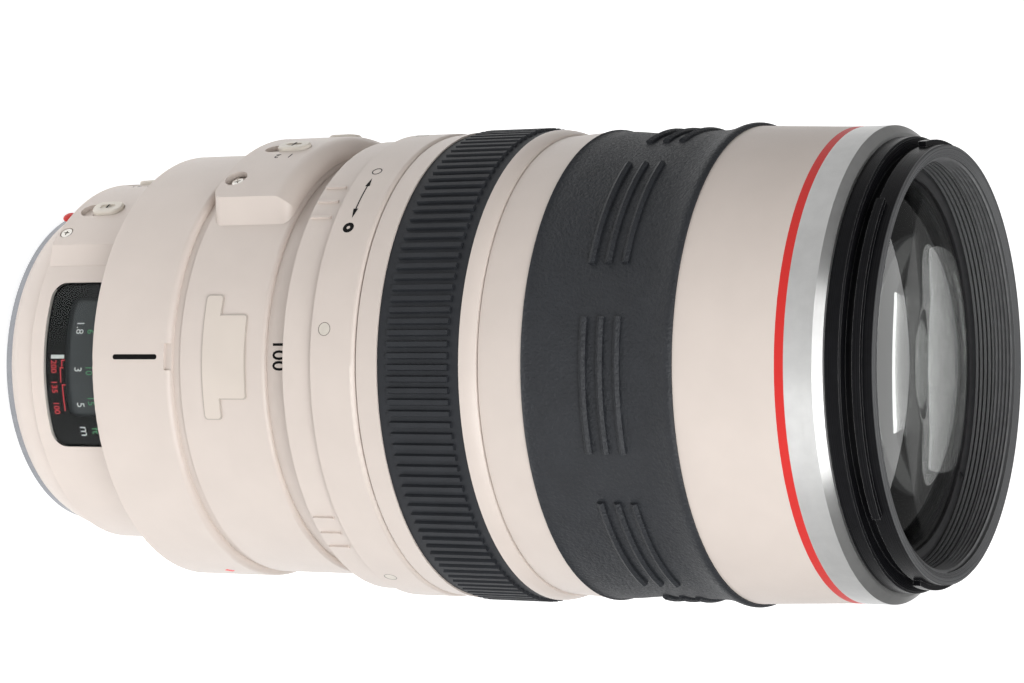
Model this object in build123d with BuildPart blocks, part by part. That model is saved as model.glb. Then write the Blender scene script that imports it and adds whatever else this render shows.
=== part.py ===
"""Push-pull telephoto zoom lens for a camera, as an assembly of its separate pieces.

The optical axis is Z, the mount's flange face is at height 0 and the front of the lens
points up. The top of the lens, with its index and distance window, faces -Y, and the
switches are on the -X side. Sizes are in millimetres.

The fixed barrel stands on a three-lug bayonet. A scale barrel rises from it, and the
whole front of the lens slides over that barrel when it is pushed out. Three keys behind
the front group run in keyways of the scale barrel and in helical grooves of a cam tube,
which turns and moves the zoom group through three slots of its own.
"""

import os
from math import cos, radians, sin

from build123d import *

os.makedirs("parts", exist_ok=True)

# Clearances shared by all fits
running_gap = 0.05
joint_gap = 0.02
slot_gap = 0.1
free_gap = 0.3
overrun = 1.0
edge_break = 0.3

# Mount flange and bayonet
flange_rim = 7.1
flange_thickness = 1.3
bayonet_radius = 25.4
bayonet_wall = 2.0
bayonet_depth = 5.2
lug_height = 1.6
lug_drop = 1.8
lug_thickness = 1.6
lug_angle = 52.0
lug_count = 3
mount_screw_count = 4
mount_screw_inset = 2.9
mount_screw_radius = 0.9
mount_screw_head = 1.7
mount_screw_length = 4.6
lock_slot_width = 2.6
lock_slot_length = 3.6
lock_slot_depth = 0.8

# Contact block inside the bayonet
contact_height = 3.4
contact_width = 3.9
contact_half_angle = 42.0
contact_middle_angle = 180.0
contact_count = 8
contact_pitch_angle = 9.6
contact_pin_radius = 0.8
contact_pin_length = 1.4
contact_pin_proud = 0.35

# Rear ring behind the main barrel
rear_ring_length = 6.9
rear_ring_flare = 2.4
rear_ring_crown = 0.5
rear_ring_land = 1.4
rear_ring_floor = 3.9
rear_ring_wall = 1.3
board_width = 2.9
board_thickness = 1.2

# Main barrel
rear_barrel_rise = 3.4
rear_barrel_wall = 1.25
rear_barrel_length = 20.1
rear_groove = 0.4
shelf_thickness = 1.4
shelf_width = 1.7
spigot_wall = 1.0
spigot_length = 1.6
web_thickness = 1.5
web_clearance = 0.5

# Distance window and the drum below it
window_margin = 0.5
window_width = 32.8
window_corner = 3.0
window_angle = -2.0
window_setback = 3.4
pane_thickness = 0.6
pane_gap = 0.05
drum_wall = 0.75
drum_play = 0.8
drum_gap = 0.25
drum_setback = 5.5

# Focus motor
motor_sleeve_wall = 1.0
motor_width = 4.3
stator_length = 4.0
rotor_length = 4.4

# Focus switch panel and its two slide switches
switch_panel_thickness = 1.9
switch_panel_first_angle = 31.5
switch_panel_last_angle = 102.5
switch_panel_slope_angle = 6.2
switch_panel_setback = 0.6
knob_length = 7.0
knob_width = 4.2
knob_proud = 0.8
knob_sink = 0.9
knob_grip_depth = 0.3
knob_travel = 3.0
knob_stem = 2.0
knob_stem_length = 1.0
focus_mode_angle = 54.5
limiter_angle = 82.0
switch_setback = 8.7
panel_screw_radius = 1.35
panel_screw_depth = 0.8
panel_screw_angle = 43.0
panel_screw_setback = 2.4

# Collar seat, a smooth ring that a tripod collar clamps
collar_seat_length = 18.0
collar_seat_proud = 0.95
seat_round = 1.1
notch_width = 5.2
notch_depth = 0.8
notch_length = 1.3
seat_groove_width = 1.9
seat_groove_depth = 0.55

# Stabiliser section of the barrel and its switch panel
stabiliser_length = 19.0
stabiliser_wall = 1.0
stabiliser_round = 0.8
hub_wall = 3.95
hub_overlap = 3.7
panel_height = 4.0
panel_wall = 1.2
panel_first_angle = 38.0
panel_last_angle = 110.0
panel_slope_angle = 5.0
panel_front_round = 3.6
panel_corner = 2.2
panel_setback = 0.9
stabiliser_mode_angle = 67.0
stabiliser_power_angle = 92.0
stabiliser_switch_setback = 10.2
dimple_radius = 2.3
dimple_depth = 1.6
dimple_angle = 50.5
dimple_setback = 2.9

# Nested tubes of the zoom, from the axis outwards
guide_inset = 4.9
guide_wall = 1.9
cam_wall = 2.7
key_room = 1.2
key_sleeve_wall = 2.35
scale_wall = 1.8
sleeve_wall = 2.55

# Zoom travel and the turn of the cam tube over it
zoom_travel = 70.0
cam_angle = 60.0
variator_travel = 24.0
focus_travel = 8.0

# Keys and cam grooves
key_count = 3
key_radius = 1.5
key_setback = 12.1
key_land = 10.0
keyway_depth = 1.1
cam_groove_depth = 1.9
cam_collar = 2.0
cam_end = 1.4
cam_ring_length = 1.9
follower_radius = 1.4
follower_sink = 1.8

# Tension ring
scale_reveal = 5.7
tension_rear_length = 6.7
tension_front_length = 9.3
tension_rear_wall = 1.0
tension_front_wall = 2.1
tension_lip = 0.45
tension_lip_play = 0.4
tension_angle = 45.0
tension_screw_count = 5
tension_screw_radius = 0.9
tension_screw_head = 1.2
tension_screw_first_angle = 6.3
tension_screw_setback = 9.5
grip_rib_groups = 4
grip_rib_first_angle = 42.0
grip_rib_pitch_angle = 5.3
grip_rib_width = 0.6
grip_rib_length = 4.6
grip_rib_height = 0.45
friction_band_width = 3.6
friction_band_depth = 1.0
sleeve_collar = 0.35
sleeve_collar_height = 1.1

# Focus ring and its rubber
focus_rear_land = 4.6
focus_rubber_length = 17.15
focus_bead = 3.1
focus_ring_wall = 0.9
focus_land_rear_rise = 0.8
focus_bead_front_rise = 0.2
focus_rubber_thickness = 0.95
focus_rib_height = 0.65
focus_rib_margin = 2.2
focus_rib_count = 135
focus_rib_share = 0.62
line_gap = 0.2

# Grip barrel, zoom rubber and front barrel
grip_neck_length = 9.2
grip_neck_wall = 0.75
grip_neck_dip = 1.7
grip_lap = 4.8
grip_wall = 1.75
grip_step = 1.8
grip_lip = 6.35
zoom_rubber_length = 29.8
zoom_rubber_lip = 1.75
zoom_rubber_waist = 0.85
zoom_rubber_flare = 1.7
zoom_rib_groups = 8
zoom_ribs_per_group = 3
zoom_rib_first_angle = -7.0
zoom_rib_angle = 32.0
zoom_rib_pitch = 3.35
zoom_rib_radius = 0.75
zoom_rib_setback = 12.0
front_barrel_rear_rise = 1.45
front_barrel_front_rise = 0.65

# Red ring, name ring and filter ring
red_ring_length = 1.7
name_ring_length = 6.7
name_ring_chamfer = 1.4
name_ring_step = 1.5
hood_shoulder_drop = 0.7
filter_spigot_wall = 1.0
filter_spigot_lap = 5.3
hood_shoulder_length = 2.9
hood_groove_length = 1.9
hood_groove_depth = 0.9
hood_lug_thickness = 1.5
hood_lug_proud = 1.0
hood_lug_angle = 86.0
hood_lug_count = 3
rim_length = 2.3
rim_drop = 1.7
rim_wall = 2.25
rim_face = 1.2
filter_thread_length = 4.2
baffle_groove_count = 5
baffle_groove_pitch = 0.8
baffle_groove_depth = 0.45
baffle_length = 4.6
front_bore_step = 1.1

# Front group
front_cell_wall = 3.7
front_cell_flange = 2.0
front_cell_tail = 3.0
front_cell_head = 12.4
doublet_step = 3.4
doublet_edge = 8.5
doublet_bend = 240.0
front_lens_edge = 3.6
front_lens_bend = 150.0
front_lens_hollow = 420.0
retaining_ring_width = 1.7
retaining_ring_length = 1.4
spanner_notch = 1.6
cell_lip = 2.0

# Zoom group and focus group, which slide in the guide tube
variator_setback = 10.0
variator_length = 12.0
variator_wall = 3.4
variator_glass_edge = 9.4
variator_bend = 90.0
focus_cell_length = 10.0
focus_cell_wall = 4.2
focus_cell_height = 27.0
glass_lip = 1.2
glass_edge = 3.0
glass_bend = 120.0
relay_bend = 180.0

# Iris
iris_height = 15.0
iris_floor = 1.5
iris_margin = 0.4
iris_wall = 1.2
iris_lip = 1.0
iris_lip_width = 2.4
blade_count = 6
blade_pitch = 0.2
blade_thickness = 0.15
blade_width = 7.0
blade_pivot_inset = 3.9
blade_pivot_step = 2.6
blade_ear = 1.5
blade_pin = 0.6
blade_lead_angle = 12.0
blade_close_angle = 28.0
blade_reach_angle = 96.0
iris_ring_step = 0.6
iris_ring_thickness = 1.0

# Stabiliser unit
stabiliser_base_height = 2.0
stabiliser_base_thickness = 2.0
stabiliser_base_width = 14.9
stabiliser_lens_inset = 18.1
stabiliser_cell_wall = 2.2
stabiliser_cell_length = 3.6
stabiliser_cell_lift = 1.2
rod_radius = 0.75
rod_distance = 4.4
rod_tail = 7.0
rod_block = 4.0
rod_block_width = 3.2

# Rear group
rear_cell_gap = 0.4
rear_cell_wall = 2.4
rear_cell_length = 15.0
rear_cell_flange = 1.2
rear_cell_flange_land = 1.1
rear_glass_edge = 6.0

# Radii of the mount and the rear barrel, from the bayonet outwards
bayonet_bore = bayonet_radius - bayonet_wall
flange_radius = bayonet_radius + flange_rim
mount_screw_circle = flange_radius - mount_screw_inset
rear_ring_bore = bayonet_radius + rear_ring_land
spigot_radius = flange_radius - rear_ring_wall
shelf_bore = spigot_radius - shelf_width
rear_barrel_radius = flange_radius + rear_barrel_rise
rear_barrel_bore = rear_barrel_radius - rear_barrel_wall
rear_cell_radius = bayonet_bore - rear_cell_gap

# Radii of the nested tubes, from the guide tube outwards
guide_bore = rear_barrel_radius - guide_inset
web_bore = guide_bore + web_clearance
guide_radius = guide_bore + guide_wall
cam_bore = guide_radius + running_gap
cam_radius = cam_bore + cam_wall
key_sleeve_bore = cam_radius + key_room
key_sleeve_radius = key_sleeve_bore + key_sleeve_wall
scale_bore = key_sleeve_radius + running_gap
scale_radius = scale_bore + scale_wall
sleeve_bore = scale_radius + running_gap
sleeve_radius = sleeve_bore + sleeve_wall
ring_bore = sleeve_radius + running_gap
stabiliser_radius = scale_radius + joint_gap + stabiliser_wall
collar_seat_radius = stabiliser_radius + collar_seat_proud
focus_seat_radius = ring_bore + focus_ring_wall
focus_rubber_radius = focus_seat_radius + focus_rubber_thickness
grip_bore = sleeve_radius + joint_gap
grip_neck_radius = grip_bore + grip_neck_wall
inner_grip_bore = sleeve_radius - grip_step
grip_seat_radius = inner_grip_bore + grip_wall
hub_bore = scale_radius - hub_wall

# Radii of the front, from the grip barrel inwards
front_barrel_rear_radius = grip_seat_radius + front_barrel_rear_rise
front_barrel_front_radius = grip_seat_radius + front_barrel_front_rise
shoulder_radius = front_barrel_front_radius - name_ring_step - hood_shoulder_drop
rim_radius = shoulder_radius - rim_drop
hood_floor_radius = rim_radius - hood_groove_depth
filter_thread_radius = rim_radius - rim_wall
front_bore = filter_thread_radius - front_bore_step
filter_spigot_radius = inner_grip_bore - filter_spigot_wall
front_cell_radius = filter_spigot_radius - filter_spigot_wall - slot_gap
front_lens_radius = front_cell_radius - front_cell_wall
doublet_radius = front_lens_radius - doublet_step

# Radii of the groups inside the guide tube
blade_pivot_circle = guide_bore - blade_pivot_inset
blade_outer = blade_pivot_circle - blade_pivot_step
blade_inner = blade_outer - blade_width
iris_opening = blade_inner - iris_margin
iris_ring_bore = blade_inner + iris_ring_step
stabiliser_base_bore = guide_bore - stabiliser_base_width
stabiliser_lens_radius = guide_bore - stabiliser_lens_inset
rod_offset = stabiliser_lens_radius + stabiliser_cell_wall + rod_distance
rod_end = rod_offset - rod_tail

# Heights along the axis, from the mount forwards
barrel_rear = flange_thickness + rear_ring_length
seat_rear = barrel_rear + rear_barrel_length
seat_front = seat_rear + collar_seat_length
section_rear = seat_front + seat_groove_width
section_front = section_rear + stabiliser_length
zoom_rear = section_front + scale_reveal
tension_step = zoom_rear + tension_rear_length
tension_front = tension_step + tension_front_length
focus_rear = tension_front + sleeve_collar
focus_rubber_rear = focus_rear + focus_rear_land
focus_rubber_front = focus_rubber_rear + focus_rubber_length
focus_front = focus_rubber_front + focus_bead
grip_rear = focus_front + line_gap
zoom_rubber_rear = grip_rear + grip_neck_length
zoom_rubber_front = zoom_rubber_rear + zoom_rubber_length
key_height = zoom_rear + key_setback
cam_front = key_height + zoom_travel + key_radius + slot_gap + cam_end
guide_front = cam_front + running_gap + cam_ring_length
cell_rear = guide_front + overrun
cell_flange_rear = cell_rear + front_cell_tail
cell_flange_front = cell_flange_rear + front_cell_flange
grip_front = cell_flange_front + grip_lip
name_rear = grip_front + red_ring_length
name_front = name_rear + name_ring_length
hood_groove_rear = name_front + hood_shoulder_length
hood_lug_rear = hood_groove_rear + hood_groove_length
rim_rear = hood_lug_rear + hood_lug_thickness
front_rim = rim_rear + rim_length
board_floor = flange_thickness + rear_ring_floor
shelf_front = barrel_rear + shelf_thickness
web_rear = seat_rear + web_thickness - edge_break
web_front = web_rear + web_thickness
hub_front = section_rear + hub_overlap / 2
cell_front = cell_flange_front + front_cell_head
scale_front = cell_flange_rear - overrun
cam_rear = zoom_rear + scale_reveal
key_sleeve_rear = key_height - key_radius - slot_gap - cam_collar


def place(radius, turn, height=0):
    """Point at a radius and a turn in degrees from the top index towards the switch side."""
    return Vector(-radius * sin(radians(turn)), -radius * cos(radians(turn)), height)


def facing(radius, turn, height):
    """Plane that faces outwards at a point of the barrel, with its x along the axis."""
    point = place(radius, turn, height)
    return Plane(origin=point, x_dir=(0, 0, 1), z_dir=place(1, turn))


def turn_outline(*outline, arc=360, mode=Mode.ADD):
    """Turns a closed half section of (radius, height) points about the optical axis."""
    with BuildSketch(Plane.XZ) as section:
        with BuildLine():
            Polyline(*outline, close=True)
        make_face()
    revolve(section.sketch, axis=Axis.Z, revolution_arc=arc, mode=mode)


def tube(bore, radius, bottom, top, mode=Mode.ADD):
    """Plain tube about the optical axis between two heights."""
    turn_outline((bore, bottom), (radius, bottom), (radius, top), (bore, top), mode=mode)


def sector(bore, radius, first, last, height, slope=0):
    """Ring sector between two turns at a height; its ends lean back by slope degrees."""
    with BuildSketch(Plane.XY.offset(height)) as piece:
        with BuildLine():
            outer = CenterArc((0, 0), radius, 270 - last + slope, last - first - 2 * slope)
            inner = CenterArc((0, 0), bore, 270 - last, last - first)
            Line(outer @ 0, inner @ 0)
            Line(outer @ 1, inner @ 1)
        make_face()
    return piece.sketch


def sagitta(bend, reach):
    """Depth of a spherical face of the given bend at a distance from its axis."""
    return bend - (bend * bend - reach * reach) ** 0.5


def lens_outline(radius, edge_rear, edge_front, front_bend, rear_bend):
    """Half section of a lens; a positive bend is a crown on that side, a negative one a hollow."""

    def rise(bend, reach):
        depth = sagitta(abs(bend), radius) - sagitta(abs(bend), reach)
        return depth if bend > 0 else -depth

    middle = radius / 2
    with BuildSketch(Plane.XZ) as section:
        with BuildLine():
            front_pole = (0, edge_front + rise(front_bend, 0))
            rear_pole = (0, edge_rear - rise(rear_bend, 0))
            Line(rear_pole, front_pole)
            ThreePointArc(front_pole, (middle, edge_front + rise(front_bend, middle)), (radius, edge_front))
            Line((radius, edge_front), (radius, edge_rear))
            ThreePointArc((radius, edge_rear), (middle, edge_rear - rise(rear_bend, middle)), rear_pole)
        make_face()
    return section.sketch


def countersunk_screw(head, shank, length):
    """Countersunk screw whose head is flush with its origin and points up."""
    with BuildPart() as screw:
        Cylinder(shank, length, align=(Align.CENTER, Align.CENTER, Align.MAX))
        Cone(shank, head, head - shank, align=(Align.CENTER, Align.CENTER, Align.MAX))
    return screw.part


def slide_knob(sink, proud):
    """Slide switch knob with a finger ridge; its origin is on the panel's face."""
    with BuildPart() as knob:
        with BuildSketch(Plane.XY.offset(-sink)):
            SlotOverall(knob_length, knob_width)
        extrude(amount=sink + proud)
        chamfer(knob.faces().sort_by(Axis.Z)[-1].edges(), knob_grip_depth)
        with BuildSketch(Plane.XY.offset(proud)):
            SlotOverall(knob_length / 2, knob_width / 3)
        extrude(amount=-knob_grip_depth, mode=Mode.SUBTRACT)
        with BuildSketch(Plane.XY.offset(-sink)):
            Rectangle(knob_stem, knob_stem)
        extrude(amount=-knob_stem_length)
    return knob.part


def knob_recess(depth, wall):
    """Recess of a slide switch with the slot for its stem; it goes forward to the rest place."""
    with BuildPart() as recess:
        with BuildSketch(Plane.XY.offset(-depth)):
            with Locations((-knob_travel / 2, 0)):
                SlotOverall(knob_length + knob_travel + 2 * slot_gap, knob_width + 2 * slot_gap)
        extrude(amount=depth + overrun)
        with BuildSketch(Plane.XY.offset(-depth)):
            with Locations((-knob_travel / 2, 0)):
                Rectangle(knob_stem + knob_travel + 2 * slot_gap, knob_stem + 2 * slot_gap)
        extrude(amount=-wall)
    return recess.part


mount_turns = [45 + 360 / mount_screw_count * index for index in range(mount_screw_count)]
mount_screw_planes = [
    Plane(origin=place(mount_screw_circle, turn), z_dir=(0, 0, -1)) for turn in mount_turns
]

# Mount flange with its bayonet lugs
with BuildPart() as mount_flange:
    turn_outline(
        (bayonet_bore, -bayonet_depth),
        (bayonet_radius, -bayonet_depth),
        (bayonet_radius, 0),
        (flange_radius, 0),
        (flange_radius, flange_thickness),
        (bayonet_bore, flange_thickness),
    )
    chamfer(mount_flange.edges().sort_by(Axis.Z)[0], edge_break)
    for index in range(lug_count):
        middle = index * 360 / lug_count
        extrude(
            sector(
                bayonet_radius - bayonet_wall / 2,
                bayonet_radius + lug_height,
                middle - lug_angle / 2,
                middle + lug_angle / 2,
                -lug_drop,
            ),
            amount=-lug_thickness,
        )
    with Locations(*mount_screw_planes):
        CounterSinkHole(mount_screw_radius + slot_gap, mount_screw_head + joint_gap, depth=flange_thickness)
    with BuildSketch(Plane.XY):
        with Locations(place(mount_screw_circle, 90)):
            SlotOverall(lock_slot_length, lock_slot_width, rotation=0)
    extrude(amount=lock_slot_depth, mode=Mode.SUBTRACT)
mount_flange.part.label = "mount_flange"
export_step(mount_flange.part, "parts/mount_flange.step")

with BuildPart() as mount_screws:
    with Locations(*mount_screw_planes):
        add(countersunk_screw(mount_screw_head, mount_screw_radius, mount_screw_length))
mount_screws.part.label = "mount_screws"
export_step(mount_screws.part, "parts/mount_screws.step")

# Contact block with a row of contacts on its rear face
contact_radius = bayonet_bore - joint_gap
contact_rear = -bayonet_depth + overrun
first_contact = contact_middle_angle - contact_pitch_angle * (contact_count - 1) / 2
contact_turns = [first_contact + contact_pitch_angle * index for index in range(contact_count)]
contact_circle = contact_radius - contact_width / 2
contact_planes = [
    Plane(origin=place(contact_circle, turn, contact_rear), z_dir=(0, 0, -1)) for turn in contact_turns
]
with BuildPart() as contact_block:
    block_section = sector(
        contact_radius - contact_width,
        contact_radius,
        contact_middle_angle - contact_half_angle,
        contact_middle_angle + contact_half_angle,
        contact_rear,
    )
    extrude(block_section, amount=contact_height)
    with Locations(*contact_planes):
        Hole(contact_pin_radius + joint_gap, depth=contact_pin_length - contact_pin_proud)
contact_block.part.label = "contact_block"
export_step(contact_block.part, "parts/contact_block.step")

with BuildPart() as contact_pins:
    for plane in contact_planes:
        with BuildSketch(plane.offset(contact_pin_proud)):
            Circle(contact_pin_radius)
        extrude(amount=-contact_pin_length)
contact_pins.part.label = "contact_pins"
export_step(contact_pins.part, "parts/contact_pins.step")

# Rear ring, screwed to the flange
with BuildPart() as rear_ring:
    with BuildSketch(Plane.XZ):
        with BuildLine():
            skin_foot = (flange_radius, flange_thickness)
            skin_top = (flange_radius + rear_ring_flare, barrel_rear - rear_groove)
            skin_middle = (
                flange_radius + rear_ring_flare / 2 + rear_ring_crown,
                flange_thickness + rear_ring_length / 2,
            )
            ThreePointArc(skin_foot, skin_middle, skin_top)
            Polyline(
                skin_top,
                (flange_radius + rear_ring_flare - rear_groove, barrel_rear),
                (spigot_radius, barrel_rear),
                (spigot_radius, board_floor),
                (rear_ring_bore, board_floor),
                (rear_ring_bore, flange_thickness),
                skin_foot,
            )
        make_face()
    revolve(axis=Axis.Z)
    with Locations(*[plane.offset(-flange_thickness) for plane in mount_screw_planes]):
        Hole(mount_screw_radius + slot_gap, depth=rear_ring_floor)
rear_ring.part.label = "rear_ring"
export_step(rear_ring.part, "parts/rear_ring.step")

with BuildPart() as circuit_board:
    board_radius = spigot_radius - slot_gap
    tube(board_radius - board_width, board_radius, board_floor, board_floor + board_thickness)
circuit_board.part.label = "circuit_board"
export_step(circuit_board.part, "parts/circuit_board.step")

# Main barrel: rear wall, web and the hub that carries the scale barrel
window_rear = barrel_rear + window_setback
window_length = rear_barrel_length - window_setback - window_margin
window_middle = window_rear + window_length / 2
window_plane = facing(rear_barrel_radius + overrun, window_angle, window_middle)
window_reach = rear_barrel_radius / 5
with BuildPart() as main_barrel:
    turn_outline(
        (rear_barrel_radius - rear_groove, barrel_rear),
        (rear_barrel_radius, barrel_rear + rear_groove),
        (rear_barrel_radius, seat_rear),
        (scale_radius, seat_rear),
        (scale_radius, hub_front),
        (hub_bore, hub_front),
        (hub_bore, web_front),
        (web_bore, web_front),
        (web_bore, web_rear),
        (rear_barrel_bore, web_rear),
        (rear_barrel_bore, barrel_rear),
    )
    with BuildSketch(window_plane):
        RectangleRounded(window_length, window_width, window_corner)
    extrude(amount=-window_reach, mode=Mode.SUBTRACT)
main_barrel.part.label = "main_barrel"
export_step(main_barrel.part, "parts/main_barrel.step")

# Pane of the distance window
pane_radius = rear_barrel_radius + pane_gap
with BuildPart() as window_pane:
    tube(pane_radius - pane_thickness, pane_radius, barrel_rear, seat_rear)
    with BuildSketch(window_plane):
        RectangleRounded(window_length - slot_gap, window_width - slot_gap, window_corner)
    extrude(amount=-window_reach, mode=Mode.INTERSECT)
window_pane.part.label = "window_pane"
export_step(window_pane.part, "parts/window_pane.step")

# Distance drum on the sleeve of the focus unit, and the ring motor inside it
drum_radius = rear_barrel_bore - drum_gap
drum_bore = drum_radius - drum_wall
motor_sleeve_radius = drum_bore - running_gap
motor_radius = motor_sleeve_radius - motor_sleeve_wall - running_gap
drum_rear = shelf_front + drum_setback
drum_length = web_rear - drum_rear - drum_play
with BuildPart() as distance_drum:
    tube(drum_bore, drum_radius, drum_rear, drum_rear + drum_length)
distance_drum.part.label = "distance_drum"
export_step(distance_drum.part, "parts/distance_drum.step")

sleeve_face = motor_sleeve_radius - motor_sleeve_wall
spigot_face = spigot_radius - joint_gap
with BuildPart() as focus_unit_base:
    turn_outline(
        (shelf_bore, barrel_rear),
        (spigot_face - spigot_wall, barrel_rear),
        (spigot_face - spigot_wall, barrel_rear - spigot_length),
        (spigot_face, barrel_rear - spigot_length),
        (spigot_face, barrel_rear),
        (rear_barrel_bore - joint_gap, barrel_rear),
        (rear_barrel_bore - joint_gap, shelf_front),
        (motor_sleeve_radius, shelf_front),
        (motor_sleeve_radius, web_rear),
        (sleeve_face, web_rear),
        (sleeve_face, shelf_front),
        (shelf_bore, shelf_front),
    )
focus_unit_base.part.label = "focus_unit_base"
export_step(focus_unit_base.part, "parts/focus_unit_base.step")

with BuildPart() as motor_stator:
    tube(motor_radius - motor_width, motor_radius, shelf_front, shelf_front + stator_length)
motor_stator.part.label = "motor_stator"
export_step(motor_stator.part, "parts/motor_stator.step")

rotor_rear = shelf_front + stator_length + running_gap
with BuildPart() as motor_rotor:
    turn_outline(
        (motor_radius - motor_width, rotor_rear),
        (motor_radius - running_gap, rotor_rear),
        (motor_radius - running_gap, rotor_rear + rotor_length / 2),
        (motor_radius - motor_width / 2, rotor_rear + rotor_length),
        (motor_radius - motor_width, rotor_rear + rotor_length),
    )
motor_rotor.part.label = "motor_rotor"
export_step(motor_rotor.part, "parts/motor_rotor.step")

# Focus switch panel with its two slide switches and screws
panel_base = rear_barrel_radius + joint_gap
panel_face = panel_base + switch_panel_thickness
switch_height = barrel_rear + switch_setback
panel_rear = barrel_rear + switch_panel_setback
knob_planes = {
    "focus_mode_knob": facing(panel_face, focus_mode_angle, switch_height),
    "distance_limit_knob": facing(panel_face, limiter_angle, switch_height),
}
screw_plane = facing(panel_face, panel_screw_angle, barrel_rear + panel_screw_setback)
with BuildPart() as focus_switch_panel:
    panel_section = sector(
        panel_base,
        panel_face,
        switch_panel_first_angle,
        switch_panel_last_angle,
        panel_rear,
        switch_panel_slope_angle,
    )
    extrude(panel_section, amount=seat_rear - panel_rear)
    for plane in knob_planes.values():
        with Locations(plane):
            add(knob_recess(knob_sink + slot_gap, switch_panel_thickness), mode=Mode.SUBTRACT)
    with Locations(screw_plane):
        Hole(panel_screw_radius + slot_gap, depth=panel_screw_depth)
focus_switch_panel.part.label = "focus_switch_panel"
export_step(focus_switch_panel.part, "parts/focus_switch_panel.step")

for name, plane in knob_planes.items():
    with BuildPart() as panel_knob:
        with Locations(plane):
            add(slide_knob(knob_sink, knob_proud))
    panel_knob.part.label = name
    export_step(panel_knob.part, f"parts/{name}.step")

# Collar seat, with the click notch of the tripod collar at the top
with BuildPart() as collar_seat:
    tube(scale_radius + joint_gap, collar_seat_radius, seat_rear, seat_front)
    seat_rims = collar_seat.edges().filter_by(GeomType.CIRCLE).group_by(SortBy.RADIUS)[-1].sort_by(Axis.Z)
    fillet(seat_rims[-1], seat_round)
    fillet(seat_rims[0], edge_break)
    with BuildSketch(facing(collar_seat_radius - notch_depth, 0, seat_front - notch_length / 2)):
        Rectangle(notch_length, notch_width)
    extrude(amount=notch_depth + overrun, mode=Mode.SUBTRACT)
collar_seat.part.label = "collar_seat"
export_step(collar_seat.part, "parts/collar_seat.step")

# Stabiliser section of the barrel
with BuildPart() as stabiliser_barrel:
    turn_outline(
        (scale_radius + joint_gap, seat_front),
        (stabiliser_radius - seat_groove_depth, seat_front),
        (stabiliser_radius - seat_groove_depth, section_rear),
        (stabiliser_radius, section_rear),
        (stabiliser_radius, section_front),
        (scale_radius + joint_gap, section_front),
    )
    section_rims = stabiliser_barrel.edges().filter_by(GeomType.CIRCLE).group_by(SortBy.RADIUS)[-1]
    fillet(section_rims.sort_by(Axis.Z)[-1], stabiliser_round)
stabiliser_barrel.part.label = "stabiliser_barrel"
export_step(stabiliser_barrel.part, "parts/stabiliser_barrel.step")

# Stabiliser switch panel, a hollow cover with a rounded front and sloping sides
cover_base = stabiliser_radius + joint_gap
cover_face = stabiliser_radius + panel_height
cover_rear = section_rear + panel_setback
cover_front = section_front - edge_break
cover_switch_height = section_rear + stabiliser_switch_setback
cover_knobs = {
    "stabiliser_mode_knob": facing(cover_face, stabiliser_mode_angle, cover_switch_height),
    "stabiliser_power_knob": facing(cover_face, stabiliser_power_angle, cover_switch_height),
}
dimple_plane = facing(cover_face, dimple_angle, cover_rear + dimple_setback)
with BuildPart() as stabiliser_panel:
    extrude(
        sector(cover_base, cover_face, panel_first_angle, panel_last_angle, cover_rear, panel_slope_angle),
        amount=cover_front - cover_rear,
    )
    end_edges = stabiliser_panel.edges().filter_by(GeomType.LINE).filter_by(Axis.Z, reverse=True)
    fillet(end_edges, panel_corner)
    with BuildSketch(Plane.XZ) as nose_section:
        with BuildLine():
            Polyline(
                (cover_base - overrun, cover_rear - overrun),
                (cover_face, cover_rear - overrun),
                (cover_face, cover_front - panel_front_round),
            )
            RadiusArc(
                (cover_face, cover_front - panel_front_round),
                (cover_face - panel_front_round, cover_front),
                -panel_front_round,
            )
            Polyline(
                (cover_face - panel_front_round, cover_front),
                (cover_base - overrun, cover_front),
                (cover_base - overrun, cover_rear - overrun),
            )
        make_face()
    revolve(nose_section.sketch, axis=Axis.Z, mode=Mode.INTERSECT)
    hollow = sector(
        cover_base - overrun,
        cover_face - panel_wall,
        panel_first_angle + panel_slope_angle,
        panel_last_angle - panel_slope_angle,
        cover_rear + panel_wall,
    )
    hollow_length = cover_front - cover_rear - panel_wall - panel_front_round
    extrude(hollow, amount=hollow_length, mode=Mode.SUBTRACT)
    with Locations(dimple_plane):
        CounterBoreHole(panel_screw_radius / 2, dimple_radius, dimple_depth)
    with Locations(dimple_plane.offset(-dimple_depth)):
        Cylinder(
            dimple_radius + panel_wall,
            panel_height - dimple_depth - joint_gap,
            align=(Align.CENTER, Align.CENTER, Align.MAX),
        )
    for plane in cover_knobs.values():
        with Locations(plane):
            add(knob_recess(knob_sink + slot_gap, panel_height), mode=Mode.SUBTRACT)
stabiliser_panel.part.label = "stabiliser_panel"
export_step(stabiliser_panel.part, "parts/stabiliser_panel.step")

for name, plane in cover_knobs.items():
    with BuildPart() as cover_knob:
        with Locations(plane):
            add(slide_knob(knob_sink, knob_proud))
    cover_knob.part.label = name
    export_step(cover_knob.part, f"parts/{name}.step")

with BuildPart() as panel_screws:
    with Locations(screw_plane, dimple_plane.offset(panel_screw_depth - dimple_depth)):
        Cylinder(panel_screw_radius, panel_screw_depth, align=(Align.CENTER, Align.CENTER, Align.MAX))
panel_screws.part.label = "panel_screws"
export_step(panel_screws.part, "parts/panel_screws.step")

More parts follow.
